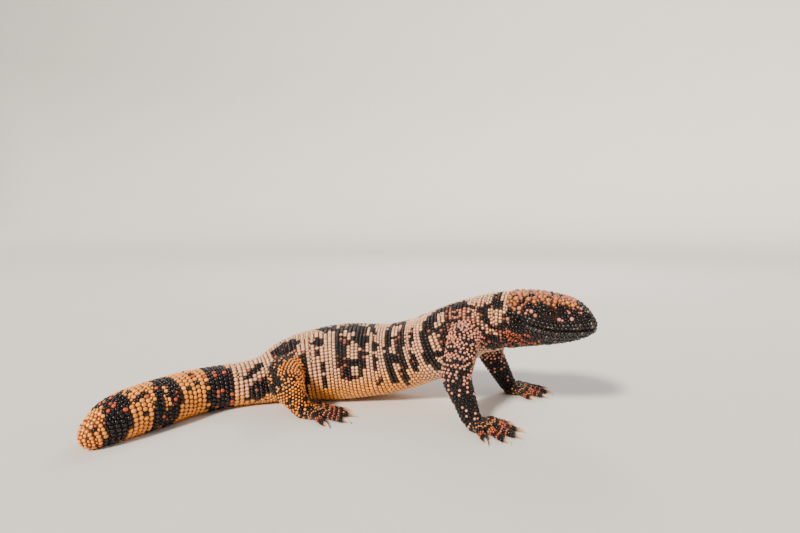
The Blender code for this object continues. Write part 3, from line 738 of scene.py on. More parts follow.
steps_along = np.arange(0, body.length, NET_STEP * MM)[:, None]
steps_round = np.radians(np.arange(0, 360, NET_TURN))[None, :]
body_places = body.surface(steps_along, steps_round)
body_net = search_tree(body_places.reshape(-1, 3))


def on_body(points):
    """Distance along the body in mm, degrees down from its back, and how far off it."""
    found = [body_net.find(point) for point in points]
    index = np.array([item[1] for item in found])
    off = np.array([item[2] for item in found])
    along, turn = np.divmod(index, body_places.shape[1])
    return along * NET_STEP, np.abs(from_back(turn * NET_TURN)), off


def crease(co, normals):
    """Press the folds into the body's skin."""
    move = np.zeros(len(co))
    for (along, start, end, lean), (width, depth) in FOLDS:
        middle = body.surface(along * MM, math.pi / 2)
        close = np.nonzero(np.linalg.norm(co - middle, axis=1) < FOLD_REACH)[0]
        s, down, off = on_body(co[close])
        line = along + lean * (down - start)
        ends_softly = np.clip((down - start + 8) / 12, 0, 1) * np.clip((end + 8 - down) / 12, 0, 1)
        press = np.exp(-(((s - line) / width) ** 2)) * ends_softly * (off < 3 * MM)
        move[close] -= press * depth * MM
    return co + normals * move[:, None]


set_vertices(skin.data, co)
co = crease(co, vertex_normals(skin.data))
co = relaxed(co, ends, np.full(len(co), 0.4), 1)
co[:, 2] = np.maximum(co[:, 2], 0.25 * MM)
set_vertices(skin.data, co)
print("folds", len(FOLDS), "seconds", so_far())

# %% [markdown]
# ## Eyelids
#
# The eye of this lizard is small and dark, and thick granular lids ring it. The skin under
# the eyeball is pressed in, and a rolled ring with an almond opening is laid over the
# ball and joined to the skin's mesh. Cutting an opening in the remeshed skin would leave a
# ragged edge at this size.

# %% Sockets and lids
LID_OPENING = (3.05 * MM, 2.05 * MM)
LID_OUTER = (5.9 * MM, 5.0 * MM)
LID_SIDES = 44
# From the opening outwards: share of the way to the outer edge, and mm over the eyeball
LID_PROFILE = (
    (0.0, -0.25),
    (0.0, 0.15),
    (0.06, 0.5),
    (0.16, 0.7),
    (0.3, 0.62),
    (0.48, 0.35),
    (0.7, -0.1),
    (1.0, -1.1),
)
LEAVES_BALL = (0.86, 0.51)  # where the lid leaves the ball: aside and outward, in its radii
LEAVING_SLOPE = 0.75
SOCKET_RADIUS = 3.7 * MM


def eye_axes(outward):
    """Forward and upward directions across an eye that looks outward."""
    upward = unit(HEAD_UP - outward * HEAD_UP.dot(outward))
    forward = np.cross(upward, outward)
    if forward.dot(HEAD_FORWARD) < 0:
        forward = -forward
    return forward, upward


def lid_rings(centre, outward):
    """Rings of the lids, from inside the opening to an edge that dips under the skin."""
    forward, upward = eye_axes(outward)
    turn = np.linspace(0, math.tau, LID_SIDES, endpoint=False)
    rings = []
    for share, height in LID_PROFILE:
        across = LID_OPENING[0] + (LID_OUTER[0] - LID_OPENING[0]) * share
        high = LID_OPENING[1] + (LID_OUTER[1] - LID_OPENING[1]) * share
        pinch = 1.0 - 0.22 * (1 - share) * np.cos(turn) ** 2
        x, y = across * np.cos(turn), high * np.sin(turn) * pinch
        radius = EYE_RADIUS + height * MM
        z = np.sqrt(np.maximum(radius**2 - x * x - y * y, 0.0))
        aside, outermost = LEAVES_BALL[0] * radius, LEAVES_BALL[1] * radius
        sloping = outermost - (np.hypot(x, y) - aside) * LEAVING_SLOPE
        z = np.where(x * x + y * y > aside**2, sloping, z)
        rings.append(centre + forward * x[:, None] + upward * y[:, None] + outward * z[:, None])
    return np.array(rings)


def press_sockets(co):
    """Push the skin under each eyeball to well below the ball's front."""
    for centre, outward in EYES.values():
        offset = co - centre
        out = offset @ outward
        aside = np.linalg.norm(offset - out[:, None] * outward, axis=1)
        deep = (EYE_RADIUS * 0.15 + aside * 0.15) * np.ones(len(co))
        inside = (aside < SOCKET_RADIUS) & (out > 0)
        co[inside] += ((deep - out)[:, None] * outward)[inside]
    return co


# %% Join the lids to the skin


def face_outward(mesh):
    """Turn all faces of a mesh to look outward."""
    work = bmesh.new()
    work.from_mesh(mesh)
    bmesh.ops.recalc_face_normals(work, faces=work.faces)
    work.to_mesh(mesh)
    work.free()


co = press_sockets(co)
set_vertices(skin.data, co)
lid_points, lid_faces = [co], [list(face.vertices) for face in skin.data.polygons]
lids = {}
for word, (centre, outward) in EYES.items():
    rings = lid_rings(centre, outward)
    first = sum(len(block) for block in lid_points)
    lid_faces += ring_faces(*rings.shape[:2], first=first)[:-2]
    lid_points.append(rings.reshape(-1, 3))
    lids[word] = rings
bpy.data.objects.remove(skin, do_unlink=True)
skin = mesh_object("skin", np.vstack(lid_points), lid_faces)
face_outward(skin.data)
co = vertex_array(skin.data)
normals = vertex_normals(skin.data)
print("skin with lids", len(co), "vertices, seconds", so_far())

# %% [markdown]
# ## Knowing where on the animal a place is
#
# Beads, colours and the map for baking all need the same answer: which part is this, how
# far along it, and how far round. Each tube and sleeve left a net of places that know
# their own answer, and any other place takes the answer of the nearest one.

# %% A net of known places
CHARTS = [(owner, part) for owner, part, _, _ in flesh]
SHAPES = [shape for _, _, shape, _ in flesh]
net_points, net_chart, net_along, net_angle = [], [], [], []
for number, (_, _, _, (rings, along, angle)) in enumerate(flesh):
    net_points.append(rings.reshape(-1, 3))
    net_chart.append(np.full(rings.shape[0] * rings.shape[1], number))
    net_along.append(np.broadcast_to(along, rings.shape[:2]).ravel())
    net_angle.append(np.broadcast_to(angle, rings.shape[:2]).ravel())
net_chart = np.concatenate(net_chart)
net_along = np.concatenate(net_along)
net_angle = np.concatenate(net_angle)
net = search_tree(np.vstack(net_points))


def locate(points):
    """The chart, distance along and angle round of each place."""
    index = np.array([net.find(point)[1] for point in points])
    return net_chart[index], net_along[index], net_angle[index]


skin_chart, skin_along, skin_angle = locate(co)
print("net", len(net_chart), "places, seconds", so_far())

# %% [markdown]
# ## Sowing the beads
#
# The beads are bony studs. On trunk and tail they stand in strings that run round the
# body, on the legs in a slanting net, on head and joints with no order at all. Where the
# order is known, places are worked out row by row. The rest is filled by throwing darts:
# a place on the skin is kept if no bead is too close. A particle system could scatter
# them, but it knows nothing of rows.

# %% What a bead needs
sown = []
BODY_CHART, HEAD_CHART = 0, 1
STUD, LIP_PLATE, LID_GRANULE = 0, 1, 2
# Along the body in mm: spacing of the strings, and of beads in a string over the back
STRING_AT = (0.0, 15.0, 40.0, 130.0, 170.0, 250.0, 290.0, 370.0, 402.0)
STRING_APART = (3.0, 3.2, 3.5, 3.5, 4.0, 4.3, 5.1, 4.6, 3.3)
BEAD_APART = (2.8, 2.8, 2.85, 2.85, 2.95, 3.2, 3.7, 3.5, 2.9)
BELLY_APART = 4.5


def sow(chart, along, angle, half_long, half_wide, height, forward=None, place=None, kind=STUD):
    """Note beads by their place on a chart. Sizes are in mm, along the part and across it."""
    shape = SHAPES[chart]
    along, angle = np.atleast_1d(along), np.atleast_1d(angle)
    if place is None:
        place = shape.surface(along, angle, -SKIN_DEPTH)
    if forward is None:
        forward = shape.surface(np.maximum(along - MM, 0), angle) - shape.surface(along + MM, angle)
    ones = np.ones(len(along))
    sown.append(
        {
            "place": place,
            "forward": unit(forward),
            "half_long": ones * half_long * MM,
            "half_wide": ones * half_wide * MM,
            "height": ones * height * MM,
            "chart": np.full(len(along), chart),
            "kind": np.full(len(along), kind),
            "along": along * ones,
            "angle": angle * ones,
        }
    )


# %% Rows of beads on trunk, tail and limbs
# Spacing across and along in mm, height, share of the space that a bead fills, first row
FORELEG_NET = (3.7, 3.2, 1.1, 0.78, 1.0)
HIND_LEG_NET = (3.0, 2.6, 1.05, 0.80, 1.0)
DIGIT_NET = (2.3, 2.05, 0.62, 0.93, 5.0)


def string_places(start, end):
    """Distances of the strings of beads along the body, in mm."""
    fine = np.linspace(start, end, 2000)
    strings = np.diff(fine) / np.interp(fine[1:], STRING_AT, STRING_APART)
    count = np.concatenate(([0.0], np.cumsum(strings)))
    return np.interp(np.arange(0.4, count[-1]), count, fine)


def sow_body():
    """Strings of beads round neck, trunk and tail: round studs above, flat plates below."""
    fine = np.linspace(0, math.tau, 361)
    for row, s in enumerate(string_places(1.5, body.length / MM - 1.0)):
        ring = body.surface(np.full(361, s * MM), fine)
        steps = np.linalg.norm(np.diff(ring, axis=0), axis=1) / MM
        down = np.abs(from_back(np.degrees(fine[1:])))
        belly = np.clip((down - 108) / 22, 0, 1) * np.clip((330 - s) / 40, 0, 1)
        apart = np.interp(s, STRING_AT, BEAD_APART) * (1 - belly) + BELLY_APART * belly
        count = np.concatenate(([0.0], np.cumsum(steps / apart)))
        whole = round(count[-1])
        spots = (np.arange(whole) + 0.5 * (row % 2)) * count[-1] / whole
        angle = np.interp(spots, count, fine)
        belly = np.interp(angle, fine[1:], belly)
        half_long = np.interp(s, STRING_AT, STRING_APART) / 2 - 0.22
        half_wide = np.interp(angle, fine[1:], apart) / 2 - 0.05
        sow(BODY_CHART, np.full(whole, s * MM), angle, half_long, half_wide, 1.25 - 0.6 * belly)


def sow_net(chart, across, lengthwise, height, share, start):
    """A slanting net of beads round a sleeve, every other row shifted by half a bead."""
    sleeve = SHAPES[chart]
    half_long, half_wide = lengthwise / 2 * share, across / 2 * share
    for row, s in enumerate(np.arange(start, sleeve.length / MM, lengthwise)):
        values = sleeve.at(sleeve.rows, s * MM)
        around = math.pi * (values[3] + values[4]) / MM
        whole = max(5, round(around / across))
        angle = (np.arange(whole) + 0.5 * (row % 2)) * math.tau / whole
        sow(chart, np.full(whole, s * MM), angle, half_long, half_wide, height)


sow_body()
for number, (owner, part) in enumerate(CHARTS):
    if part.startswith("digit"):
        sow_net(number, *DIGIT_NET)
    elif part in ("upper", "lower"):
        sow_net(number, *(FORELEG_NET if owner.startswith("fore") else HIND_LEG_NET))
print("sown in rows", sum(len(batch["along"]) for batch in sown))

# %% Plates along the lips
LIP_STEP = 3.25 * MM
# Height from the mouth line, half length and half height in mm, and how far the plate stands out
LIP_ROWS = (
    (1.75, 1.63, 1.35, 0.85),
    (4.5, 1.63, 1.45, 1.0),
    (-2.7, 1.63, 2.2, 0.8),
    (-6.6, 1.63, 1.75, 0.8),
    (-9.8, 1.63, 1.45, 0.7),
)


def lip_line(side):
    """Places along the mouth from the snout's tip to its corner, and the distance between them."""
    along = np.linspace(HEAD_LENGTH - 0.3 * MM, JAW_CORNER - 2 * MM, 200)
    width = head.read(HEAD_LENGTH - along)[:, 3]
    places = np.stack((along, width * side), axis=-1)
    steps = np.linalg.norm(np.diff(places, axis=0), axis=1)
    return along, np.concatenate(([0.0], np.cumsum(steps)))


def sow_lips(side):
    """Rows of plates above and below the mouth line."""
    along, gone = lip_line(side)
    for number, (above, *sizes) in enumerate(LIP_ROWS):
        spots = np.arange(LIP_STEP * (0.55 if number % 2 else 0.15), gone[-1], LIP_STEP)
        s = np.interp(spots, gone, along)
        section = head.read(HEAD_LENGTH - s)
        lift = mouth_height(s) + above * MM * np.clip(spots / (6 * MM) + 0.55, 0, 1)
        rise = section[:, 4] if above > 0 else section[:, 5]
        power = head.powers[0] if above > 0 else head.powers[1]
        share = np.clip(np.abs(lift) / rise, 0, 0.95)
        reach = (1 - share**power) ** (1 / power) * section[:, 3] * side
        place = HEAD_ORIGIN + np.outer(s, HEAD_FORWARD)
        place = place + np.outer(reach, HEAD_LEFT) + np.outer(lift, HEAD_UP)
        forward = np.gradient(place, axis=0)
        angle = np.arctan2(lift, reach) % math.tau
        sow(HEAD_CHART, HEAD_LENGTH - s, angle, *sizes, forward, place, LIP_PLATE)


for side in (-1, 1):
    sow_lips(side)

# %% Granules on the lids
# Which ring of the lids carries them, how many, their half size in mm and their height
LID_BEADS = ((3, 20, 0.42, 0.32), (4, 20, 0.52, 0.42), (5, 19, 0.72, 0.6), (6, 18, 0.95, 0.8))


def sow_lids(rings):
    """Rings of small granules that grow larger away from the eye."""
    centre = rings.mean(axis=(0, 1))
    local = in_head(centre[None, :])[0]
    for number, (ring, count, half, height) in enumerate(LID_BEADS):
        spots = (np.arange(count) + 0.5 * (number % 2)) * LID_SIDES / count
        low = np.floor(spots).astype(int) % LID_SIDES
        share = (spots - np.floor(spots))[:, None]
        place = rings[ring, low] * (1 - share) + rings[ring, (low + 1) % LID_SIDES] * share
        forward = rings[ring, (low + 1) % LID_SIDES] - rings[ring, low]
        angle = np.full(count, math.atan2(local[2], local[1]) % math.tau)
        along = np.full(count, HEAD_LENGTH - local[0])
        sow(HEAD_CHART, along, angle, half, half, height, forward, place, LID_GRANULE)


for rings in lids.values():
    sow_lids(rings)
print("sown in all", sum(len(batch["along"]) for batch in sown))

# %% [markdown]
# ## Settling the beads on the skin
#
# A sown place comes from the plain tube, and the skin has since been joined and softened.
# Each bead moves to the nearest point of the skin and takes its slope. One that would lie
# inside another part, in the mouth, an eye, a nostril or an ear is dropped.

# %% Drop or settle
skin_faces = [tuple(face.vertices) for face in skin.data.polygons]
hide = BVHTree.FromPolygons([Vector(point) for point in co], skin_faces)
# No bead stands within this many mm of a nostril's or an ear's middle, in three directions
NO_BEADS = ((NOSTRIL, (2.3, 4.0, 2.0)), (EAR, (1.6, 4.0, 3.8)))
# A bead that would have to move farther than this lies inside another part
SETTLES_WITHIN = {"body": 1.25 * MM, "head": 2.6 * MM, "limbs": 2.0 * MM}


def settle(places):
    """The nearest point of the skin, its slope there, and how far away it was."""
    found = [hide.find_nearest(Vector(place)) for place in places]
    spots = np.array([item[0] for item in found])
    slopes = np.array([item[1] for item in found])
    return spots, slopes, np.array([item[3] for item in found])


def forbidden(places):
    """True where no bead may stand: in the mouth line, the nostrils, the ears and the eyes."""
    local = in_head(places)
    folded = np.stack((local[:, 0], np.abs(local[:, 1]), local[:, 2]), axis=-1)
    gap = np.abs(local[:, 2] - mouth_height(local[:, 0]))
    banned = (gap < 0.7 * MM) & (local[:, 0] > JAW_CORNER - 1 * MM)
    for middle, size in NO_BEADS:
        offset = (folded - np.array(middle)) / (np.array(size) * MM)
        banned |= (offset**2).sum(axis=1) < 1.0
    for centre, outward in EYES.values():
        forward, upward = eye_axes(outward)
        offset = places - centre
        x, y = offset @ forward / LID_OPENING[0], offset @ upward / LID_OPENING[1]
        banned |= (x * x + y * y < 1.35) & (offset @ outward > 0)
    return banned


beads = {key: np.concatenate([batch[key] for batch in sown]) for key in sown[0]}
spots, slopes, off = settle(beads["place"])
reach = np.full(len(off), SETTLES_WITHIN["limbs"])
reach[beads["chart"] == BODY_CHART] = SETTLES_WITHIN["body"]
reach[beads["chart"] == HEAD_CHART] = SETTLES_WITHIN["head"]
keep = (off < reach) & ~forbidden(spots)
beads = {key: values[keep] for key, values in beads.items()}
beads["place"], beads["slope"] = spots[keep], slopes[keep]
print("kept", int(keep.sum()), "of", len(keep), "seconds", so_far())

# %% Thin out what stands too close


class Crowd:
    """Beads placed so far, in a grid of boxes, so that a newcomer is checked against few."""

    def __init__(self, cell):
        self.cell = cell
        self.boxes = {}

    def add(self, place, radius):
        """Note a bead in its box."""
        key = tuple(int(value // self.cell) for value in place)
        self.boxes.setdefault(key, []).append((*place, radius))

    def has_room(self, place, radius, closeness):
        """True if no bead in the 27 boxes round a place is too close to it."""
        i, j, k = (int(value // self.cell) for value in place)
        x, y, z = place
        for a in (i - 1, i, i + 1):
            for b in (j - 1, j, j + 1):
                for c in (k - 1, k, k + 1):
                    for px, py, pz, other in self.boxes.get((a, b, c), ()):
                        least = (radius + other) * closeness
                        if (px - x) ** 2 + (py - y) ** 2 + (pz - z) ** 2 < least * least:
                            return False
        return True


# The least distance between two beads, as a share of their radii together
LEAST_APART = {"body": 0.74, "head": 0.66, "limbs": 0.86}
crowd = Crowd(4.5 * MM)
radii = (beads["half_long"] + beads["half_wide"]) / 2
closeness = np.full(len(radii), LEAST_APART["limbs"])
closeness[beads["chart"] == BODY_CHART] = LEAST_APART["body"]
closeness[beads["chart"] == HEAD_CHART] = LEAST_APART["head"]
keep = np.zeros(len(radii), bool)
for i in np.argsort(beads["chart"] == BODY_CHART, kind="stable"):
    keep[i] = crowd.has_room(beads["place"][i], radii[i], closeness[i])
    if keep[i]:
        crowd.add(beads["place"][i], radii[i])
beads = {key: values[keep] for key, values in beads.items()}
print("kept", int(keep.sum()), "of", len(keep))

# %% [markdown]
# ## Filling the rest
#
# The head carries studs of many sizes, large and lumpy on the crown and small round the
# eye and at the throat. Large ones are thrown first and smaller ones fill between them.
# The same pass fills the corners where legs meet the trunk.

# %% How large beads are where there are no rows
chance = np.random.default_rng(7)
# Radii in mm off the head, on those parts of a limb that differ, and near a nostril
USUAL_BEAD = 1.42
LIMB_BEADS = {"wrist": 1.25, "pad": 1.05, "digit": 0.9}
NOSTRIL_BEAD = 0.8
NEAR_NOSTRIL = 4.5  # mm from its middle


def head_bead_size(local):
    """Radii of head beads in mm: large on the crown, small at snout, nostril, jaw and throat."""
    along, above = local[:, 0] / MM, local[:, 2] / MM
    size = 1.6 + 0.5 * np.clip((above - 17) / 7, 0, 1) - 0.65 * np.clip((along - 48) / 12, 0, 1)
    size = np.where(above < -5, 1.4, size)
    size = np.where((above < 4) & (along < 29), 1.05, size)
    folded = np.stack((along, np.abs(local[:, 1]) / MM, above), axis=1)
    offset = (folded - np.array(NOSTRIL) / MM) / NEAR_NOSTRIL
    return np.where((offset**2).sum(axis=1) < 1.0, NOSTRIL_BEAD, size)


on_head = skin_chart == HEAD_CHART
base_size = np.full(len(co), USUAL_BEAD)
for number, (_, part) in enumerate(CHARTS):
    base_size[skin_chart == number] = LIMB_BEADS.get(part.split("_")[0], USUAL_BEAD)
base_size[on_head] = head_bead_size(in_head(co)[on_head])
print("usual radii in mm", np.unique(base_size.round(1)))

# %% Throw darts
# A few large beads come first: every ninth place gets a dart, this much larger than usual
FEW, FEW_SIZE, FEW_CLOSENESS = 9, 1.22, 0.95
# Then beads of each size, as a share of the usual one, and how close together they may be
DARTS = ((1.0, 0.88), (0.8, 0.85), (0.6, 0.84), (0.42, 0.86))
SMALLEST_ON_TRUNK = 0.7  # darts below this share are thrown off the trunk only


def fill(order, sizes, closeness):
    """Throw darts at skin vertices in the given order, and note those that land in free room."""
    for i in order:
        if crowd.has_room(co[i], sizes[i], closeness):
            crowd.add(co[i], sizes[i])
            landed.append((i, sizes[i]))


landed = []
shuffled = chance.permutation(np.nonzero(~forbidden(co))[0])
off_trunk = shuffled[skin_chart[shuffled] != BODY_CHART]
fill(shuffled[: len(shuffled) // FEW], base_size * FEW_SIZE * MM, FEW_CLOSENESS)
for share, closeness in DARTS:
    order = shuffled if share > SMALLEST_ON_TRUNK else off_trunk
    fill(order, base_size * share * MM, closeness)
index = np.array([i for i, _ in landed])
sizes = np.array([size for _, size in landed])
print("darts landed", len(landed), "on the head", int(on_head[index].sum()))
print("seconds", so_far())

# %% Put rows and darts together
wander = chance.normal(0.0, 0.7, (len(index), 3))
forward_hint = np.where(on_head[index][:, None], HEAD_FORWARD + wander, np.array((1.0, 0.0, 0.0)))
slender = np.where(on_head[index], 0.76, 0.9)
thrown = {
    "place": co[index],
    "forward": forward_hint,
    "half_long": sizes,
    "half_wide": sizes * chance.uniform(slender, 1.0),
    "height": np.clip(sizes * np.where(on_head[index], 0.95, 0.78), 0.3 * MM, 1.9 * MM),
    "chart": skin_chart[index],
    "kind": np.full(len(index), STUD),
    "along": skin_along[index],
    "angle": skin_angle[index],
    "slope": normals[index],
}
beads = {key: np.concatenate((values, thrown[key])) for key, values in beads.items()}
COUNT = len(beads["along"])
print("beads in all", COUNT)

# %% [markdown]
# ## The markings
#
# Black and pale patches follow the animal, not the camera. Each patch is an oval with its
# place in the body's own terms: how far along from the neck joint, and how many degrees
# down from the back. A later patch paints over an earlier one. Noise alone would give
# blotches of the right kind, but never this animal's. The two sides of a real animal
# differ, so on the far side the patches shift a little.

# %% Patches on trunk and tail
# Place along in mm, degrees down from the back, half length in mm, half height in degrees,
# and lean in mm per degree
HIP_AND_RUMP_DARK = (
    (215, 26, 13, 19, 0.0),
    (203, 92, 5, 44, 0.03),
    (187, 37, 5, 10, 0.0),
    (185.5, 58, 2, 5, 0.0),
    (183, 77, 3, 6, 0.0),
    (182.5, 101, 3, 10, 0.0),
    (247, 96, 10.0, 32, 0.2),
    (230, 68, 6.5, 24, 0.5),
    (249, 42, 7.0, 17, 0.45),
)
SADDLE_DARK = ((176, 8, 9, 13, -0.45), (153.5, 51, 17, 52, 0.0))
SADDLE_PALE = ((157, 31, 7, 8, 0.0), (151.5, 61, 6.5, 14, 0.0), (150, 88, 4, 6, 0.0))
FLANK_DARK = (
    (133, 13, 4.5, 21, -0.3),
    (127, 56, 4.5, 10, 0.0),
    (129, 85, 2.7, 12, 0.0),
    (128, 107, 2, 8, 0.0),
    (111.5, 62, 4, 66, 0.06),
    (99.5, 76, 4.2, 66, 0.1),
    (101, 8, 7, 9, 0.0),
    (101, 49, 4, 5, 0.0),
    (74, 5, 4, 9, 0.0),
    (105.5, 83, 4.5, 6, 0.0),
    (82, 60, 3.2, 20, 0.03),
    (88, 100, 5, 14, 0.1),
)
SHOULDER_DARK = (
    (58, 76, 14, 62, 0.1),
    (33, 78, 14.5, 60, 0.0),
    (9.5, 27, 3, 24, 0.0),
    (8, 112, 14, 44, 0.0),
    (10, 60, 10.5, 21, 0.0),
    (41, 20, 10, 10, -0.2),
)
SHOULDER_PALE = (
    (51.6, 47, 4.4, 16, 0.08),
    (60.8, 83, 4.8, 15, 0.1),
    (63, 115, 4, 11, 0.1),
    (48.5, 112, 5.5, 26, 0.1),
    (22, 23, 8.5, 17, 0.0),
    (9.8, 67, 5.4, 13, 0.0),
    (1.6, 42, 1.8, 26, 0.0),
    (19.6, 74, 1.45, 26, -0.2),
    (25.0, 62, 1.4, 12, -0.4),
    (12.6, 90, 1.45, 9, -0.4),
)
TAIL_DARK = (
    (284, 90, 13.5, 120, 0.0),
    (308, 19, 2.4, 12, 0.0),
    (305, 49, 2.3, 11, 0.0),
    (316, 62, 2.3, 7, 0.0),
    (337, 90, 10.5, 120, 0.06),
    (360, 10, 1.6, 9, 0.0),
    (358, 41, 3.6, 8, 0.0),
    (351, 44, 2.2, 8, 0.0),
    (356, 89, 1.9, 7, 0.0),
    (377.5, 90, 9.0, 120, 0.08),
)
TAIL_PALE = ((337.4, 61, 1.9, 28, 0.04),)
TIP_DARK = ((391, 49, 2.6, 15, 0.0),)
PATCHES = (
    (0.0, HIP_AND_RUMP_DARK),
    (0.0, SADDLE_DARK),
    (1.0, SADDLE_PALE),
    (0.0, FLANK_DARK),
    (0.0, SHOULDER_DARK),
    (1.0, SHOULDER_PALE),
    (0.0, TAIL_DARK),
    (1.0, TAIL_PALE),
    (0.0, TIP_DARK),
)
FAR_SIDE_SHIFT = 7.0
print("patches", sum(len(patches) for _, patches in PATCHES))

# %% Pale or black on trunk and tail


def ripple(points, size, seed):
    """Smooth random values from -1 to 1, one for each place."""
    scaled = points / size + seed
    return np.array([noise.noise(Vector(point)) for point in scaled])


def body_pale(along, angle, points):
    """1 where the body is pale and 0 where it is black."""
    s = along / MM
    turned = from_back(np.degrees(angle))
    down = np.abs(turned)
    far = (turned < 0) & (s < 265)
    s = s + np.where(far, FAR_SIDE_SHIFT * np.clip(down / 45, 0, 1), 0.0)
    ragged = np.clip(s / 45, 0.25, 1.0)
    s = s + 2.4 * ragged * ripple(points, 5 * MM, 3.0)
    down = down + 7.0 * ragged * ripple(points, 6 * MM, 9.0)
    pale = np.ones(len(s))
    for value, patches in PATCHES:
        for middle, below, half_long, half_high, lean in patches:
            x = (s - middle - lean * (down - below)) / half_long
            y = (down - below) / half_high
            pale = np.where(np.abs(x) ** 2.4 + np.abs(y) ** 2.4 < 1.0, value, pale)
    return pale


# %% Patches on the head
# Red rows slant down over the rear of the jaw: how steeply, how far apart and where, in mm
THROAT_SLANT, THROAT_ROW, THROAT_MIDDLE, THROAT_HALF = 0.52, 5.6, 0.0, 7.0


def throat_rows(along, above):
    """True on the slanting red rows behind and below the corner of the mouth."""
    across = above + THROAT_SLANT * along
    row = np.sin(math.tau * across / THROAT_ROW) > 0.25
    return row & (np.abs(across - THROAT_MIDDLE) < THROAT_HALF) & (along < 26)


def head_pale(local, points):
    """The share of pale beads: nearly all on the crown, some at the temples, few at the lips."""
    along, above = local[:, 0] / MM, local[:, 2] / MM
    edge = 21.0 + 2.2 * ripple(points, 8 * MM, 1.0) - 3.4 * np.clip((along - 34) / 18, 0, 1)
    edge = edge - 2.5 * np.clip((14 - along) / 10, 0, 1)
    crown = np.clip((above - edge) / 1.5 + 0.5, 0, 1) * np.clip((55 - along) / 5, 0, 1)
    temple = 0.20 * np.clip((26 - along) / 8, 0, 1) + 0.13
    temple = np.where(above < 5, 0.05, temple)
    near_mouth = np.clip((np.abs(above - mouth_height(local[:, 0]) / MM) - 5.5) / 2, 0, 1)
    jaw = np.where(above < -7, 0.12, 0.0) * np.clip((40 - along) / 20, 0, 1)
    jaw = jaw + np.where(throat_rows(along, above), 0.8, 0.0)
    behind = np.clip((3.5 - along) / 3, 0, 1) * 0.6
    return np.clip(np.maximum(crown * 0.87, temple * near_mouth) + jaw + behind, 0, 1)


# %% Patches on the limbs
# For each part of a limb: the share of pale beads, near its start and near its end
FORE_PALE = {"upper": (0.92, 0.75), "lower": (0.42, 0.12), "wrist": (0.15, 0.1), "pad": (0.2, 0.16)}
HIND_PALE = {"lower": (1.0, 0.75), "wrist": (0.6, 0.5), "pad": (0.45, 0.4)}
DIGIT_BAND = 3.9  # mm from stripe to stripe near the palm
TOE_BAND = 5.0  # mm from ring to ring farther out
ORANGE_TOE = (0.55, 0.87)  # the share of its length over which a digit is orange
BEHIND_KNEE, ABOVE_KNEE = 4.5, 17.5  # where the thigh is black, in mm from its joint


def digit_share(along, length):
    """Narrow stripes near the palm, broad orange rings beyond them, and black at the claw."""
    gone = along / length
    wave = math.tau * along / MM
    striped = (np.sin(wave / DIGIT_BAND) > 0.25) * 0.85
    ringed = (np.sin(wave / TOE_BAND) > -0.5) * 0.92
    outer = np.where(gone < ORANGE_TOE[1], ringed, 0.04)
    return np.where(gone < ORANGE_TOE[0], striped, outer)


def thigh_share(owner, points):
    """Pale all over, but for a black patch behind the joint and above it."""
    knee = np.array(LIMBS[owner]["joints"][0]) * MM + SHIFT
    offset = (points - knee) / MM + 2.5 * ripple(points, 6 * MM, 8.0)[:, None]
    behind = -offset[:, 0] - 0.15 * np.abs(offset[:, 2]) > BEHIND_KNEE
    return np.where(behind | (offset[:, 2] > ABOVE_KNEE), 0.14, 0.95)


def limb_share(owner, part, along, length, points):
    """The share of pale beads along one part of a limb."""
    hind = owner.startswith("hind")
    if part.startswith("digit"):
        return digit_share(along, length)
    if hind and part == "upper":
        return thigh_share(owner, points)
    start, end = (HIND_PALE if hind else FORE_PALE)[part]
    return start + (end - start) * along / length + 0.3 * ripple(points, 9 * MM, 5.0)


# %% [markdown]
# ## Colours of the beads
#
# One bead has one colour. Pale beads run from cream on the trunk to orange on tail, lower
# flanks and hind legs, pink on the forelegs and salmon on the crown. Part of that orange is
# painted warm sunlight. Dark ones are a brown black. A painted picture could hold them, but
# beads would smear into each other at its pixels.
# So colours are worked out here, bead by bead, and stored on the mesh. The material adds
# only what is finer than a bead.

# %% A palette


def paint(red, green, blue):
    """A colour as seen on a screen, turned into the light it stands for."""
    return np.array([value**2.2 for value in (red, green, blue)])


CREAM = paint(0.93, 0.76, 0.60)
ROSE = paint(0.88, 0.66, 0.55)
PINK = paint(0.91, 0.62, 0.52)
PEACH = paint(1.0, 0.70, 0.33)
ORANGE = paint(0.99, 0.56, 0.12)
RUST = paint(0.82, 0.28, 0.08)
SALMON = paint(0.93, 0.54, 0.39)
COAL = paint(0.050, 0.043, 0.053)
UMBER = paint(0.145, 0.066, 0.060)
# a painted highlight on the front and back rims of some lip plates
EDGE_HIGHLIGHT = paint(0.76, 0.72, 0.68)
LID_BROWN = paint(0.34, 0.22, 0.19)
SHOULDER_PINK = PINK * 0.86
CHEEK_PINK = PINK * 0.65


def blend(first, second, share):
    """Rows of colour between two colours."""
    share = np.asarray(share)[:, None]
    return first * (1 - share) + second * share


print("black and cream as light", np.round(COAL, 3), np.round(CREAM, 3))

# %% Colours of trunk and tail
# Where the tail turns warmer, partly its own orange and partly painted sunlight, where it gets more
# specks, and the shoulder, in mm along
TAIL_WARM_AND_SUNLIT_FROM, TAIL_SPECKS_AT, SHOULDER_AT = 262, 255, 32


def trunk_light(s, down, spare):
    """The pale colour: cream above, peach to orange low on the flank and along the tail. That
    warmth is partly the animal's own and partly painted warm sunlight.
    """
    low = np.clip((down - 88) / 30, 0, 1) * np.clip((s - 70) / 40, 0, 1)
    on_tail = np.clip((s - TAIL_WARM_AND_SUNLIT_FROM) / 30, 0, 1)
    warm_and_sunlit = on_tail * 0.5 + 0.5 * low
    light = blend(blend(CREAM, ROSE, 0.6 * spare), PEACH, np.clip(warm_and_sunlit * 2, 0, 1))
    return blend(light, ORANGE, 0.25 * low + 0.3 * on_tail)


def speck_share(s, down, shoulder):
    """The share of black beads that are coloured instead: most on the shoulder, few elsewhere."""
    share = 0.06 + 0.09 * np.clip((s - TAIL_SPECKS_AT) / 20, 0, 1) + 0.62 * shoulder
    share = share + 0.25 * np.clip(1 - np.abs(s - 164) / 8, 0, 1) * (down > 40)
    return share + 0.35 * np.clip((14 - s) / 6, 0, 1) * (down > 45)


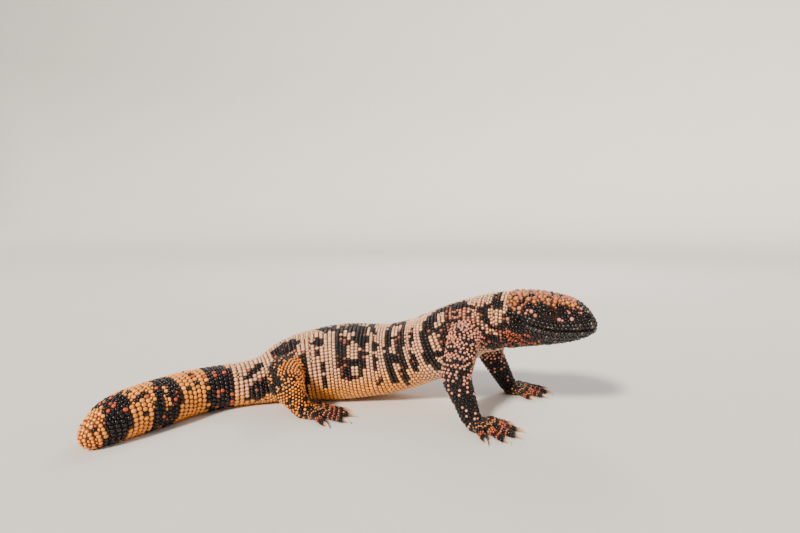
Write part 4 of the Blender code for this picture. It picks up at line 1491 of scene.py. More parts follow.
def colour_trunk(along, angle, points, luck, spare):
    """The pale colour of each bead of neck, trunk and tail, and whether the bead is pale."""
    s = along / MM
    down = np.abs(from_back(np.degrees(angle)))
    pale = body_pale(along, angle, points)
    shoulder = np.clip(2 - np.abs(s - SHOULDER_AT) / 8, 0, 1) * np.clip((down - 34) / 8, 0, 1)
    speck = (luck < speck_share(s, down, shoulder)) & (pale < 0.5)
    pink = speck & (shoulder > 0.4)
    deep = np.where((s > TAIL_SPECKS_AT)[:, None], RUST, UMBER)
    light = trunk_light(s, down, spare)
    light[speck] = blend(SALMON * 0.45, deep, 0.7 * spare)[speck]
    light[pink] = blend(SHOULDER_PINK, UMBER, 0.3 * spare)[pink]
    return light, np.where(speck, 1.0, pale)


# %% Colours of head and limbs
CROWN_FROM = 18 * MM  # above the mouth line's level
DIGIT_REDDENS_AT = 0.48  # the share of a digit's length
SMALL_ON_LIMB = 0.95 * MM


def colour_head(points, luck, spare):
    """Salmon and peach on the crown, pink at the temples, red at the throat."""
    local = in_head(points)
    crown = blend(SALMON, PEACH, np.clip(0.25 + ripple(points, 5 * MM, 2.0), 0, 0.6)) * 0.52
    red = blend(SALMON * 0.42, RUST * 0.42, 0.2 + 0.6 * spare)
    temple = blend(CHEEK_PINK, red, np.clip((4 - local[:, 2] / MM) / 6, 0, 1))
    light = np.where((local[:, 2] > CROWN_FROM)[:, None], crown, temple)
    return light, (luck < head_pale(local, points)) * 1.0


def colour_limb(number, along, points, half_long, luck, spare):
    """Pink beads on the forelegs, orange ones on the hind legs, red ones on the digits. The hind
    legs' orange is partly painted warm sunlight.
    """
    owner, part = CHARTS[number]
    length = SHAPES[number].length
    pale = (luck < limb_share(owner, part, along, length, points)) * 1.0
    if part.startswith("digit"):
        reddish = np.clip((along / length - DIGIT_REDDENS_AT) * 20, 0, 1)
        red = blend(SALMON * 0.7, RUST * 0.8, 0.3 + 0.5 * spare)
        return blend((PEACH + SALMON) * 0.32, red, reddish), pale
    # small beads between the large ones of a leg stay dark
    pale[half_long < SMALL_ON_LIMB] = 0.0
    if owner.startswith("fore"):
        return np.tile(SHOULDER_PINK, (len(luck), 1)), pale
    # the hind legs' orange is partly their own colour and partly painted warm sunlight
    return blend(PEACH, ORANGE, 0.5 + 0.5 * spare), pale


# %% One colour for each bead


def colour_beads(luck):
    """Each bead's colour and whether it is pale, from its place and a random number of its own."""
    pale, light = np.zeros(COUNT), np.zeros((COUNT, 3))
    spare = (luck * 37.0) % 1.0
    for number in range(len(CHARTS)):
        here = beads["chart"] == number
        along, angle, points = (beads[key][here] for key in ("along", "angle", "place"))
        chances = (luck[here], spare[here])
        if number == BODY_CHART:
            light[here], pale[here] = colour_trunk(along, angle, points, *chances)
        elif number == HEAD_CHART:
            light[here], pale[here] = colour_head(points, *chances)
        elif here.any():
            sizes = beads["half_long"][here]
            light[here], pale[here] = colour_limb(number, along, points, sizes, *chances)
    browner = 0.35 + 0.8 * ripple(beads["place"], 4 * MM, 6.0) + 0.5 * (spare > 0.85)
    dark = blend(COAL, UMBER, np.clip(browner, 0, 1))
    return dark * (1 - pale[:, None]) + light * pale[:, None], pale


luck = chance.random(COUNT)
bead_colour, bead_pale = colour_beads(luck)
is_lid = beads["kind"] == LID_GRANULE
bead_colour[is_lid] = blend(COAL, LID_BROWN, np.clip(luck[is_lid] * 1.4, 0, 1))
tone = np.exp(chance.normal(0.0, 0.13, COUNT))
bead_colour *= tone[:, None]
print("pale beads", round(100 * float(bead_pale.mean())), "percent")

# %% Painted highlights on the rims of the lip plates, and room round the beads of the shoulder
edge_colour_with_highlights = bead_colour.copy()
is_lip = beads["kind"] == LIP_PLATE
# painted highlights: some lip plates get a pale rim at front and back
highlight_share = np.clip(luck[is_lip] * 3.0 - 1.5, 0, 1.0)
edge_colour_with_highlights[is_lip] = blend(bead_colour[is_lip], EDGE_HIGHLIGHT, highlight_share)
# pale beads of the shoulder stand apart, as on the arm below it
down = np.abs(from_back(np.degrees(beads["angle"])))
near_shoulder = np.abs(beads["along"] - SHOULDER_AT * MM) < 16 * MM
apart = (beads["chart"] == BODY_CHART) & near_shoulder & (down > 36) & (bead_pale > 0.5)
for measure in ("half_long", "half_wide"):
    beads[measure][apart] *= 0.84
print("lip plates", int(is_lip.sum()), "shoulder beads", int(apart.sum()))

# %% [markdown]
# ## The outline of each bead
#
# Beads crowd each other like kernels of corn, so none is a perfect oval. In each of ten
# directions a bead reaches either its own size or, if that comes first, the line between
# it and a neighbour, which lies farther out for a larger bead. That is the cell of a
# weighted Voronoi diagram. Cutting the skin apart with a fracture tool would give flat
# sides, but here each bead keeps a rounded edge and a thin dark groove.

# %% Each bead's own directions
SPOKES = 10
turns = np.linspace(0, math.tau, SPOKES, endpoint=False)


def bead_axes():
    """Each bead's outward, forward and sideways directions. The last two lie along the skin."""
    slope = unit(beads["slope"])
    forward = beads["forward"] - slope * (beads["forward"] * slope).sum(axis=1, keepdims=True)
    weak = np.linalg.norm(forward, axis=1) < 0.05
    forward[weak] = np.cross(slope[weak], (0.3, 0.5, 0.8))
    forward = unit(forward)
    return slope, forward, np.cross(slope, forward)


slope, forward, sideways = bead_axes()
print("beads", COUNT, "with outlines of", SPOKES, "corners")

# %% Where a neighbour's room begins
NEIGHBOURS = 9
NO_NEIGHBOUR = 1.0  # in metres, for a direction in which there is none


def neighbour_limits():
    """How far each bead may go in each direction before it meets a neighbour's room."""
    tree = search_tree(beads["place"])
    found = [tree.find_n(place, NEIGHBOURS + 1)[1:] for place in beads["place"]]
    near = np.array([[item[1] for item in items] for items in found])
    offset = beads["place"][near] - beads["place"][:, None, :]
    x = (offset * forward[:, None, :]).sum(axis=2)
    y = (offset * sideways[:, None, :]).sum(axis=2)
    size = (beads["half_long"] + beads["half_wide"]) / 2
    weight = 0.7 * (size[:, None] ** 2 - size[near] ** 2)
    toward = x[:, :, None] * np.cos(turns) + y[:, :, None] * np.sin(turns)
    limit = ((x * x + y * y + weight)[:, :, None]) / (2 * np.maximum(toward, 1e-7))
    return np.where(toward > 1e-7, limit, NO_NEIGHBOUR).min(axis=1)


# %% Reach in ten directions
# Half the groove between beads: at a trunk bead's ends and sides, on the limbs, on the head
GROOVE_LONG = 0.40 * MM
GROOVE_WIDE = 0.07 * MM
LIMB_GROOVE = 0.20 * MM
HEAD_GROOVE = 0.13 * MM
ROUNDNESS = 2.4  # 2 is an oval, and more is squarer
LIP_ROUNDNESS = 4.0
MOST_REACH, LEAST_REACH = 1.04, 0.35  # shares of a bead's own size


def half_grooves():
    """Half the groove round each bead, in each direction."""
    groove = np.tile(np.hypot(GROOVE_LONG * np.cos(turns), GROOVE_WIDE * np.sin(turns)), (COUNT, 1))
    groove[beads["chart"] > HEAD_CHART] = LIMB_GROOVE
    groove[(beads["chart"] == HEAD_CHART) & (beads["kind"] == STUD)] = HEAD_GROOVE
    groove[beads["kind"] == LIP_PLATE] = HEAD_GROOVE / 2
    return groove


def own_outlines():
    """How far each bead would go in each direction if it stood alone."""
    power = np.where(beads["kind"] == LIP_PLATE, LIP_ROUNDNESS, ROUNDNESS)[:, None]
    along = np.abs(np.cos(turns) / beads["half_long"][:, None]) ** power
    across = np.abs(np.sin(turns) / beads["half_wide"][:, None]) ** power
    return (along + across) ** (-1 / power)


def bead_reaches():
    """How far each bead goes in each direction. Its corners are softened at the end."""
    own = own_outlines()
    reach = np.minimum(neighbour_limits() - half_grooves(), own * MOST_REACH)
    reach = np.maximum(reach, own * LEAST_REACH)
    return 0.5 * reach + 0.25 * (np.roll(reach, 1, axis=1) + np.roll(reach, -1, axis=1))


reaches = bead_reaches()
print("mean reach mm", round(float(reaches.mean() / MM), 2))
print("seconds", so_far())

# %% [markdown]
# ## Domes
#
# A bead is four rings and a tip. The lowest ring is sunk in the skin, so that no gap
# shows under it, and a flat base closes it. Ten sides are enough, because the normals are
# smooth and a bead covers few pixels.

# %% Rings of one bead
# Share of the bead's reach, and share of its height; the first ring is sunk instead
DOME = ((1.0, 0.0), (0.99, 0.2), (0.85, 0.58), (0.52, 0.89))
SUNK = 0.3 * MM
# How much painted shade each ring gets, darkest at the root where beads meet, and the tip last
RIM_SHADE = (1.0, 0.8, 0.25, 0.0, 0.0)


def dome_points(chosen):
    """The vertices of the chosen beads, an array of beads by vertices by 3."""
    reach = reaches[chosen]
    flat = forward[chosen][:, None, :] * np.cos(turns)[None, :, None]
    flat = flat + sideways[chosen][:, None, :] * np.sin(turns)[None, :, None]
    blocks = []
    for share, rise in DOME:
        lift = beads["height"][chosen] * rise if rise else np.full(len(chosen), -SUNK)
        outward = flat * (reach * share)[:, :, None]
        blocks.append(outward + (slope[chosen] * lift[:, None])[:, None, :])
    blocks.append((slope[chosen] * beads["height"][chosen][:, None])[:, None, :])
    return np.concatenate(blocks, axis=1) + beads["place"][chosen][:, None, :]


def dome_loops():
    """Vertex numbers of one bead's faces, and how many corners each face has."""
    loops, corners = [], []
    for ring in range(len(DOME) - 1):
        for k in range(SPOKES):
            following = (k + 1) % SPOKES
            a, b = ring * SPOKES, (ring + 1) * SPOKES
            loops += [a + k, a + following, b + following, b + k]
            corners.append(4)
    top = (len(DOME) - 1) * SPOKES
    for k in range(SPOKES):
        loops += [top + k, top + (k + 1) % SPOKES, len(DOME) * SPOKES]
        corners.append(3)
    loops += list(range(SPOKES))[::-1]
    corners.append(SPOKES)
    return np.array(loops), np.array(corners)


print("faces of a bead", len(dome_loops()[1]))

# %% [markdown]
# ## A map for baking
#
# A colour map for this coat can't be a view of it from anywhere, or beads behind others
# would mix their colours. Each bead gets a small patch of its own instead, at the place
# where its root lies on the part unrolled flat. Unrolled means how far along and how far
# round, with each sleeve of a limb in its own square.

# %% Patches on the map
PATCH = 0.003  # the side of a bead's patch, where the whole map is 1
MARGIN, INNER = 0.02, 0.96  # shares of a square


def unrolled(chosen, charts_here):
    """The place of each bead's root on the flat map of its piece, from 0 to 1."""
    columns = math.ceil(math.sqrt(len(charts_here)))
    u, v = np.zeros(len(chosen)), np.zeros(len(chosen))
    for cell, chart in enumerate(charts_here):
        here = beads["chart"][chosen] == chart
        if not here.any():
            continue
        along = beads["along"][chosen][here]
        span = max(along.max() - along.min(), 1e-6)
        local_u = MARGIN + INNER * (along - along.min()) / span
        local_v = MARGIN + INNER * (beads["angle"][chosen][here] / math.tau)
        u[here] = (cell % columns + local_u) / columns
        v[here] = (cell // columns + local_v) / columns
    return np.stack((u, v), axis=-1)


def spread_apart(spots):
    """The same spots, with those that share a place moved a patch apart."""
    seen = {}
    for i, (u, v) in enumerate(spots):
        key = (int(u / PATCH), int(v / PATCH))
        step = seen.get(key, 0)
        seen[key] = step + 1
        if step:
            spots[i] = (u + PATCH * 1.2 * step, v)
    return np.clip(spots, PATCH, 1 - PATCH)


print("patches across the map", round(1 / PATCH))

# %% Which beads make which piece
# From where to where along the body, in mm
TRUNK_PIECES = (
    ("neck", 0, 38),
    ("chest", 38, 104),
    ("belly", 104, 175),
    ("pelvis", 175, 245),
    ("tail", 245, 500),
)


def piece_lists():
    """Bead numbers and charts of each piece of the coat."""
    chart, s = beads["chart"], beads["along"] / MM
    lists = {"head": (np.nonzero(chart == HEAD_CHART)[0], [HEAD_CHART])}
    for name, start, end in TRUNK_PIECES:
        here = (chart == BODY_CHART) & (s >= start) & (s < end)
        lists[name] = (np.nonzero(here)[0], [BODY_CHART])
    for limb in LIMBS:
        charts = [number for number, (owner, _) in enumerate(CHARTS) if owner == limb]
        lists[limb] = (np.nonzero(np.isin(chart, charts))[0], charts)
    return lists


coat_lists = piece_lists()
print("pieces of the coat", ", ".join(coat_lists))

# %% Meshes of the coat
LEAST_HEIGHT = 0.05 * MM  # above the floor
# The rim of a lip plate carries a painted highlight: how much of the painted shade it gets, and on
# which sides the highlight is
LIP_RIM_SHADE = 0.1
HIGHLIGHT_SPOKES = np.abs(np.cos(turns)) > 0.6
# How large each ring of a bead is on its patch of the map, from root to tip
PATCH_RINGS = (1.0, 0.85, 0.62, 0.34)


def shade_smooth(mesh):
    """Smooth shading on every face."""
    mesh.polygons.foreach_set("use_smooth", np.ones(len(mesh.polygons), bool))


def mesh_of_beads(name, points, loops, corners):
    """One mesh of many beads, all with the same faces."""
    count, each = points.shape[:2]
    all_loops = (loops[None, :] + (np.arange(count) * each)[:, None]).ravel()
    all_corners = np.tile(corners, count)
    starts = np.concatenate(([0], np.cumsum(all_corners)[:-1]))
    mesh = bpy.data.meshes.new(name)
    mesh.vertices.add(count * each)
    mesh.vertices.foreach_set("co", points.ravel())
    mesh.loops.add(len(all_loops))
    mesh.loops.foreach_set("vertex_index", all_loops.astype(np.int32))
    mesh.polygons.add(len(all_corners))
    mesh.polygons.foreach_set("loop_start", starts.astype(np.int32))
    shade_smooth(mesh)
    return mesh


def store_colours(mesh, chosen, each):
    """Each bead's colour, with painted highlights on the rims of lip plates, and in alpha how much
    painted shade each ring gets.
    """
    colour = np.ones((len(chosen), each, 4), np.float32)
    colour[:, :, :3] = bead_colour[chosen][:, None, :]
    rim = colour[:, SPOKES : 2 * SPOKES]
    rim[:, HIGHLIGHT_SPOKES, :3] = edge_colour_with_highlights[chosen][:, None, :]
    colour[:, :, 3] = np.repeat(RIM_SHADE, [SPOKES] * len(DOME) + [1])[None, :]
    colour[is_lip[chosen], SPOKES : 2 * SPOKES, 3] = LIP_RIM_SHADE
    attribute = mesh.attributes.new("bead_colour", "FLOAT_COLOR", "POINT")
    attribute.data.foreach_set("color", colour.ravel())


def store_map(mesh, chosen, charts_here, loops):
    """The map for baking. The rings of a bead lie one inside the other on its patch."""
    circle = np.stack((np.cos(turns), np.sin(turns)), 1)
    flat = np.concatenate([circle * share for share in PATCH_RINGS] + [np.zeros((1, 2))])
    spots = spread_apart(unrolled(chosen, charts_here))
    corner_uv = spots[:, None, :] + flat[loops][None, :, :] * PATCH / 2
    layer = mesh.uv_layers.new(name="OFBake")
    layer.data.foreach_set("uv", corner_uv.astype(np.float32).ravel())


def bead_piece(name, chosen, charts_here):
    """One piece of the coat, with its colours and its map."""
    points = dome_points(chosen)
    points[:, :, 2] = np.maximum(points[:, :, 2], LEAST_HEIGHT)
    loops, corners = dome_loops()
    mesh = mesh_of_beads(name, points, loops, corners)
    store_colours(mesh, chosen, points.shape[1])
    store_map(mesh, chosen, charts_here, loops)
    mesh.update(calc_edges=True)
    mesh.validate()
    obj = bpy.data.objects.new(name, mesh)
    bpy.context.scene.collection.objects.link(obj)
    return obj


coat = {}
for name, (chosen, charts_here) in coat_lists.items():
    coat[name] = bead_piece(f"beads_{name}", chosen, charts_here)
    triangles = len(chosen) * (SPOKES * (2 * len(DOME) - 1) + SPOKES - 2)
    print(f"beads_{name}", len(chosen), "beads", triangles, "triangles")
print("seconds", so_far())

# %% [markdown]
# ## Materials
#
# A bead is bone under thin horn: smooth and a little glossy, with fine pits. Its colour
# comes from the mesh, and painted shade darkens it towards the root, where beads meet. The
# skin between is dull and dark, partly its own colour and partly painted shade. All of it is
# worked out by noise in the shader, with no picture.

# %% Nodes for a finish


def new_finish(name, roughness, level=0.5):
    """A material with a Principled shader, and its nodes and links."""
    material = bpy.data.materials.new(name)
    material.use_nodes = True
    nodes, links = material.node_tree.nodes, material.node_tree.links
    shader = nodes["Principled BSDF"]
    shader.inputs["Roughness"].default_value = roughness
    shader.inputs["Specular IOR Level"].default_value = level
    return material, nodes, links, shader


def add_noise(nodes, links, scale, detail=3.0):
    """Noise in the object's own space. The scale is in waves per metre."""
    place = nodes.new("ShaderNodeTexCoord")
    texture = nodes.new("ShaderNodeTexNoise")
    texture.inputs["Scale"].default_value = scale
    texture.inputs["Detail"].default_value = detail
    links.new(place.outputs["Object"], texture.inputs["Vector"])
    return texture.outputs["Fac"]


def add_range(nodes, links, value, low, high):
    """Stretch a value between 0.3 and 0.7 to lie between low and high."""
    stretch = nodes.new("ShaderNodeMapRange")
    stretch.inputs["From Min"].default_value = 0.3
    stretch.inputs["From Max"].default_value = 0.7
    stretch.inputs["To Min"].default_value = low
    stretch.inputs["To Max"].default_value = high
    links.new(value, stretch.inputs["Value"])
    return stretch.outputs["Result"]


def add_mix(nodes, links, way, factor, first, second):
    """Mix two colours. Each of factor, first and second is a socket or a plain value."""
    mix = nodes.new("ShaderNodeMix")
    mix.data_type = "RGBA"
    mix.blend_type = way
    for socket, value in ((mix.inputs[0], factor), (mix.inputs[6], first), (mix.inputs[7], second)):
        if isinstance(value, bpy.types.NodeSocket):
            links.new(value, socket)
        elif isinstance(value, (int, float)):
            socket.default_value = value
        else:
            socket.default_value = (*value, 1.0)
    return mix.outputs[2]


def add_bump(nodes, links, shader, height, strength, distance):
    """Raise the surface by a height between 0 and 1 times a distance."""
    bump = nodes.new("ShaderNodeBump")
    bump.inputs["Strength"].default_value = strength
    bump.inputs["Distance"].default_value = distance
    links.new(height, bump.inputs["Height"])
    links.new(bump.outputs["Normal"], shader.inputs["Normal"])


def add_stored(nodes, name):
    """The node that reads what is stored on the mesh under a name."""
    stored = nodes.new("ShaderNodeAttribute")
    stored.attribute_name = name
    return stored


def add_grain(nodes, links, value, lows, high):
    """A colour to multiply by. Each channel goes from a low of its own to the same high."""
    grain = nodes.new("ShaderNodeCombineColor")
    for socket, low in zip(grain.inputs, lows):
        links.new(add_range(nodes, links, value, low, high), socket)
    return grain.outputs["Color"]


def set_grained(nodes, links, shader, colour, grain):
    """Give the shader a colour times a grain."""
    links.new(add_mix(nodes, links, "MULTIPLY", 1.0, colour, grain), shader.inputs["Base Color"])


# %% Bead and skin finishes
# Sizes of bumps are in metres, and scales of noise in waves per metre


def bead_finish():
    """Glossy bone under horn, with painted shade at the root."""
    material, nodes, links, shader = new_finish("beaded_horn", 0.42)
    stored = add_stored(nodes, "bead_colour")
    fine = add_noise(nodes, links, 1400.0)
    broad = add_noise(nodes, links, 160.0, 2.0)
    grain = add_grain(nodes, links, fine, (0.86, 0.80, 0.76), 1.12)
    mottled = add_mix(nodes, links, "MULTIPLY", 0.8, stored.outputs["Color"], grain)
    # painted shade at each bead's root, where beads meet, broken up by a broad noise
    root_shade = nodes.new("ShaderNodeMath")
    root_shade.operation = "MULTIPLY"
    links.new(stored.outputs["Alpha"], root_shade.inputs[0])
    links.new(add_range(nodes, links, broad, 0.5, 0.95), root_shade.inputs[1])
    # the brown of the painted shade at the root
    brown = (0.40, 0.22, 0.15)
    rooted = add_mix(nodes, links, "MULTIPLY", root_shade.outputs["Value"], mottled, brown)
    links.new(rooted, shader.inputs["Base Color"])
    links.new(add_range(nodes, links, fine, 0.18, 0.34), shader.inputs["Roughness"])
    add_bump(nodes, links, shader, fine, 0.35, 0.0002)
    return material


def skin_finish():
    """Dull dark skin that keeps a trace of the marking above it. Its darkness is partly its own and
    partly painted shade in the grooves.
    """
    material, nodes, links, shader = new_finish("skin_between_beads", 0.7, 0.3)
    stored = add_stored(nodes, "skin_colour")
    fine = add_noise(nodes, links, 2200.0)
    grain = add_grain(nodes, links, fine, (0.7, 0.7, 0.7), 1.2)
    set_grained(nodes, links, shader, stored.outputs["Color"], grain)
    add_bump(nodes, links, shader, fine, 0.5, 0.0003)
    return material


horn = bead_finish()
hide_finish = skin_finish()
for piece in coat.values():
    piece.data.materials.append(horn)
print("materials", horn.name, hide_finish.name)

# %% Colour the skin between the beads
# The skin takes a dark share of the nearest bead's colour, and less of it on the limbs. That dark
# is partly the skin's own and partly painted shade in the grooves
KEPT_COLOUR = np.array((0.13, 0.06, 0.045))
LIMB_SHARE = 0.03

bead_tree = search_tree(beads["place"])
nearest = np.array([bead_tree.find(place)[1] for place in co])
between = np.ones((len(co), 4), np.float32)
on_limb = (skin_chart > HEAD_CHART)[:, None]
kept = np.where(on_limb, LIMB_SHARE, 1.0) * KEPT_COLOUR
between[:, :3] = bead_colour[nearest] * kept + COAL * 0.45
stored = skin.data.attributes.new("skin_colour", "FLOAT_COLOR", "POINT")
stored.data.foreach_set("color", between.ravel())
skin.data.materials.append(hide_finish)
shade_smooth(skin.data)
print("brightest skin", round(float(between[:, :3].max()), 3))

# %% [markdown]
# ## Eyes
#
# The eyeball is a ball with a wet surface. The iris is dark brown, with a round pupil
# that can hardly be told from it. A picture of an eye would need a map, so the mesh stores
# the angle from the way the eye looks, and the shader makes its rings from that alone.

# %% Eyeballs


def eye_finish():
    """A wet, nearly black eye with a brown iris."""
    material, nodes, links, shader = new_finish("wet_eye", 0.05, 0.2)
    shader.inputs["Coat Weight"].default_value = 0.1
    shader.inputs["Coat Roughness"].default_value = 0.03
    stored = add_stored(nodes, "from_gaze")
    ramp = nodes.new("ShaderNodeValToRGB")
    ramp.color_ramp.elements[0].position = 0.20
    ramp.color_ramp.elements[0].color = (0.002, 0.002, 0.002, 1)
    ramp.color_ramp.elements[1].position = 0.62
    ramp.color_ramp.elements[1].color = (0.006, 0.005, 0.005, 1)
    for position, colour in ((0.24, (0.022, 0.010, 0.005)), (0.48, (0.010, 0.005, 0.003))):
        stop = ramp.color_ramp.elements.new(position)
        stop.color = (*colour, 1)
    links.new(stored.outputs["Fac"], ramp.inputs["Fac"])
    streaks = add_noise(nodes, links, 1800.0)
    grain = add_grain(nodes, links, streaks, (0.5, 0.5, 0.5), 1.4)
    set_grained(nodes, links, shader, ramp.outputs["Color"], grain)
    return material


def eyeball(word, centre, outward):
    """A ball that looks outward. It stores how far each vertex is from there, in quarter turns."""
    mesh = bpy.data.meshes.new(f"eyeball_{word}")
    ball = bmesh.new()
    bmesh.ops.create_uvsphere(ball, u_segments=40, v_segments=28, radius=EYE_RADIUS)
    turn = Vector((0, 0, 1)).rotation_difference(Vector(outward)).to_matrix()
    bmesh.ops.rotate(ball, matrix=turn, verts=ball.verts)
    bmesh.ops.translate(ball, vec=Vector(centre), verts=ball.verts)
    ball.to_mesh(mesh)
    ball.free()
    gaze = unit(vertex_array(mesh) - centre) @ outward
    quarters = np.arccos(np.clip(gaze, -1, 1)) / math.pi * 2
    stored = mesh.attributes.new("from_gaze", "FLOAT", "POINT")
    stored.data.foreach_set("value", quarters.astype(np.float32))
    shade_smooth(mesh)
    mesh.materials.append(wet_eye)
    obj = bpy.data.objects.new(f"eyeball_{word}", mesh)
    bpy.context.scene.collection.objects.link(obj)
    return obj


wet_eye = eye_finish()
eyeballs = {word: eyeball(word, *facing) for word, facing in EYES.items()}
print("eyeballs", len(eyeballs))

# %% [markdown]
# ## Claws
#
# Each digit ends in a curved claw, pale at the tip and brown where it leaves the skin. A
# claw is a taper bent down to the floor, with a keel along its back and a flatter belly.

# %% Claw shapes
CLAW_SIDES = 14
CLAW_ROWS = 18
CLAW_LENGTH = 7.2 * MM
CLAW_RADIUS = 1.35 * MM
CLAW_TIP_RADIUS = 0.10 * MM
CLAW_TIP_HEIGHT = 0.45 * MM
CLAW_ARCH = 2.2 * MM  # four times what the arch adds to the height halfway along
CLAW_ROOTED = 0.28  # the length inside the digit, as a share of the length outside


def claw_rings(sleeve):
    """Rings of a claw that grows from the end of a digit."""
    end, direction = sleeve.rows[-1, :3], sleeve.direction[-1]
    ahead = unit(np.array((direction[0], direction[1], 0.0)))
    start = end + direction * 0.3 * MM
    t = np.linspace(-CLAW_ROOTED, 1.0, CLAW_ROWS)
    after = np.maximum(t, 0.0)
    place = start + np.outer(CLAW_LENGTH * t * (1 - after), direction)
    place = place + np.outer(CLAW_LENGTH * after * after, ahead)
    falling = start[2] * (1 - after**2) + CLAW_TIP_HEIGHT * after**2
    arched = falling + CLAW_ARCH * after * (1 - after)
    place[:, 2] = arched + direction[2] * np.minimum(t, 0) * CLAW_LENGTH
    radius = CLAW_RADIUS * (1 - after) ** 0.72 + CLAW_TIP_RADIUS * after
    line = unit(np.gradient(place, axis=0))
    side = unit(np.cross(line, (0.0, 0.0, 1.0)))
    over = np.cross(side, line)
    turn = np.linspace(0, math.tau, CLAW_SIDES, endpoint=False)
    keel = 1.12 + 0.10 * np.cos(2 * turn - math.pi) + 0.10 * np.sin(turn)
    across = side[:, None, :] * (0.78 * np.cos(turn))[None, :, None]
    upward = over[:, None, :] * (keel * np.sin(turn))[None, :, None]
    rings = place[:, None, :] + (across + upward) * radius[:, None, None]
    rings[:, :, 2] = np.maximum(rings[:, :, 2], LEAST_HEIGHT)
    return rings, t


def claw_finish():
    """Translucent looking horn, with streaks along the claw and a darker root."""
    material, nodes, links, shader = new_finish("claw_horn_streaked", 0.3, 0.5)
    shader.inputs["Coat Weight"].default_value = 0.25
    stored = add_stored(nodes, "to_tip")
    ramp = nodes.new("ShaderNodeValToRGB")
    ramp.color_ramp.elements[0].color = (*paint(0.34, 0.22, 0.15), 1)
    ramp.color_ramp.elements[1].color = (*paint(0.95, 0.84, 0.70), 1)
    middle = ramp.color_ramp.elements.new(0.42)
    middle.color = (*paint(0.84, 0.66, 0.49), 1)
    links.new(stored.outputs["Fac"], ramp.inputs["Fac"])
    streaks = add_noise(nodes, links, 1500.0, 4.0)
    grain = add_grain(nodes, links, streaks, (0.8, 0.8, 0.8), 1.1)
    set_grained(nodes, links, shader, ramp.outputs["Color"], grain)
    add_bump(nodes, links, shader, streaks, 0.2, 0.0002)
    return material


# %% Five claws for each foot


def claw_set(name, sleeves):
    """The claws of one foot. Each vertex stores how far it is from root to tip."""
    points, faces, toward = [], [], []
    for part, sleeve in sleeves.items():
        if not part.startswith("digit"):
            continue
        rings, t = claw_rings(sleeve)
        faces += ring_faces(CLAW_ROWS, CLAW_SIDES, first=len(points) * CLAW_ROWS * CLAW_SIDES)
        points.append(rings.reshape(-1, 3))
        toward.append(np.repeat(np.clip(t, 0, 1), CLAW_SIDES))
    obj = mesh_object(f"claws_{name}", np.vstack(points), faces)
    face_outward(obj.data)
    stored = obj.data.attributes.new("to_tip", "FLOAT", "POINT")
    stored.data.foreach_set("value", np.concatenate(toward).astype(np.float32))
    shade_smooth(obj.data)
    obj.data.materials.append(claw_material)
    return obj


claw_material = claw_finish()
claws = {name: claw_set(name, sleeves) for name, sleeves in limbs.items()}
print("claws", 5 * len(claws))

# %% [markdown]
# ## Tying the pieces to the solids
#
# Nothing on this model moves, so every piece rides on the one body. The skin stands for
# all the solids of flesh, an eyeball for its eye, and each set of claws for its five.

# %% Ride and replace
FLESH_NODES = ["head", "lower_jaw", "neck", "chest", "belly", "pelvis"]
FLESH_NODES += ["tail_base", "tail_middle", "tail_end"]
for side in ("left", "right"):
    for part in ("upper_arm", "forearm", "hand", "thigh", "shank", "foot"):
        FLESH_NODES.append(f"{part}_{side}")
COAT_SLOTS = {"head": "head_skin", "tail": "tail_skin", **dict.fromkeys(LIMBS, "limb_skin")}
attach(skin, "root")
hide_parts(*FLESH_NODES)
for name, piece in coat.items():
    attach(piece, "root")
    word = COAT_SLOTS.get(name, "trunk_skin")
for word, piece in eyeballs.items():
    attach(piece, "root")
    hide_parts(f"eye_{word}")
for name, piece in claws.items():
    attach(piece, "root")
    end, word = name.split("_")
    foot = ("hand_" if end == "fore" else "foot_") + word
    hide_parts(*[f"{foot}_claw_{number}" for number in range(1, 6)])
print("pieces", 1 + len(coat) + len(eyeballs) + len(claws))

# %% [markdown]
# ## Floor, light and camera
#
# The animal stands on a plain pale floor that curves up far behind it, so that no edge
# shows from any side. A broad soft sun lights animal and backdrop alike, a soft light from
# behind draws the outline of the back, and a pale sky fills the shadows. The camera has
# the height, tilt and lens that were worked out from the photograph.

# %% Studio
FLOOR_RADIUS = 5.0
WALL_CURVE = 2.0
WALL_HEIGHT = 4.0
FLOOR_SIDES = 96


def floor_rings():
    """Rings of the floor, then of the curve at its edge, and one for the top of the wall."""
    profile = [(1.0, 0.0), (FLOOR_RADIUS, 0.0)]
    for degrees in range(10, 91, 10):
        bend = math.radians(degrees)
        reach = FLOOR_RADIUS + WALL_CURVE * math.sin(bend)
        profile.append((reach, WALL_CURVE * (1 - math.cos(bend))))
    profile.append((FLOOR_RADIUS + WALL_CURVE, WALL_HEIGHT))
    turn = np.linspace(0, math.tau, FLOOR_SIDES, endpoint=False)
    circle = np.stack((np.cos(turn), np.sin(turn), np.zeros(FLOOR_SIDES)), axis=-1)
    return np.array([circle * reach + (0.0, 0.0, height) for reach, height in profile])


def make_floor():
    """A round floor that curves up into a wall all round."""
    rings = floor_rings()
    floor = mesh_object("studio_floor", rings, ring_faces(*rings.shape[:2])[:-1])
    shade_smooth(floor.data)
    material, nodes, links, shader = new_finish("pale_floor", 0.85, 0.2)
    grain = add_grain(nodes, links, add_noise(nodes, links, 3.0), (0.98, 0.98, 0.98), 1.0)
    set_grained(nodes, links, shader, (0.78, 0.76, 0.73), grain)
    floor.data.materials.append(material)


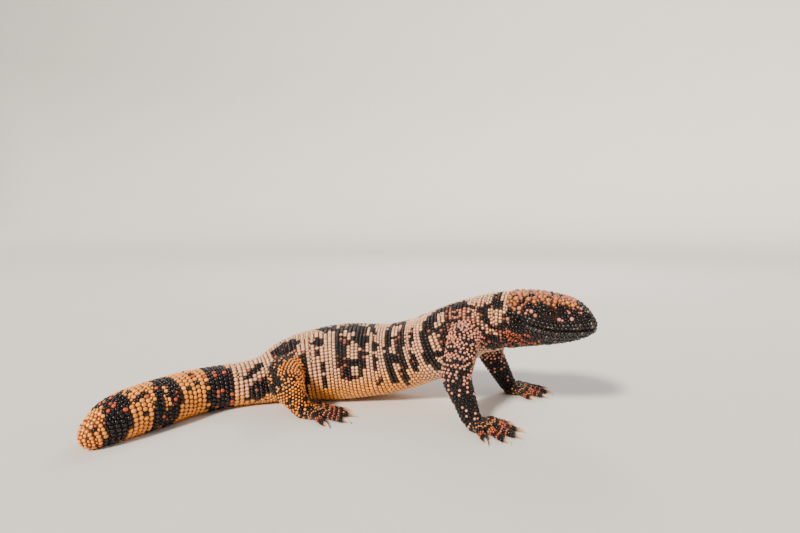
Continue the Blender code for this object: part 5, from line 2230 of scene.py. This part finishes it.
def aimed_light(name, kind, place, aim, strength, colour):
    """A light that faces a point."""
    data = bpy.data.lights.new(name, kind)
    data.energy, data.color = strength, colour
    light = bpy.data.objects.new(name, data)
    light.location = place
    light.rotation_euler = (Vector(aim) - Vector(place)).to_track_quat("-Z", "Y").to_euler()
    bpy.context.scene.collection.objects.link(light)
    return data


def set_sky(colour, strength):
    """An even pale sky."""
    world = bpy.data.worlds.new("studio_sky")
    world.use_nodes = True
    background = world.node_tree.nodes["Background"]
    background.inputs["Color"].default_value = (*colour, 1.0)
    background.inputs["Strength"].default_value = strength
    bpy.context.scene.world = world


make_floor()
key = aimed_light("key", "SUN", (-0.95, -1.4, 1.3), (0.0, 0.0, 0.03), 5.6, (1.0, 0.90, 0.76))
key.angle = math.radians(9)
back = aimed_light("back", "AREA", (0.4, 1.5, 1.3), (0.0, 0.0, 0.04), 14.0, (1.0, 0.97, 0.93))
back.size = 0.8
set_sky((0.95, 0.96, 1.0), 0.5)
print("floor radius m", FLOOR_RADIUS)

# %% Camera
CAMERA_HEIGHT = 0.16
CAMERA_BACK = 0.447
CAMERA_DOWN = 4.452  # degrees below the horizon
LENS_IN_PICTURE_HEIGHTS = 1.0
PICTURE = (800, 533)

camera_data = bpy.data.cameras.new("camera")
camera = bpy.data.objects.new("camera", camera_data)
bpy.context.scene.collection.objects.link(camera)
camera.location = (SHIFT[0], -CAMERA_BACK + SHIFT[1], CAMERA_HEIGHT)
camera.rotation_euler = (math.radians(90 - CAMERA_DOWN), 0.0, 0.0)
camera_data.sensor_width = 36.0
camera_data.lens = LENS_IN_PICTURE_HEIGHTS * PICTURE[1] / PICTURE[0] * camera_data.sensor_width
camera_data.clip_start = 0.01
bpy.context.scene.camera = camera
print("camera at", [round(value, 3) for value in camera.location])
print("lens mm", round(camera_data.lens, 2))

# %% [markdown]
# ## Finishing
#
# The scene is brought up to date, and the time taken is printed.

# %% Finish
bpy.context.view_layer.update()
print("seconds", so_far())
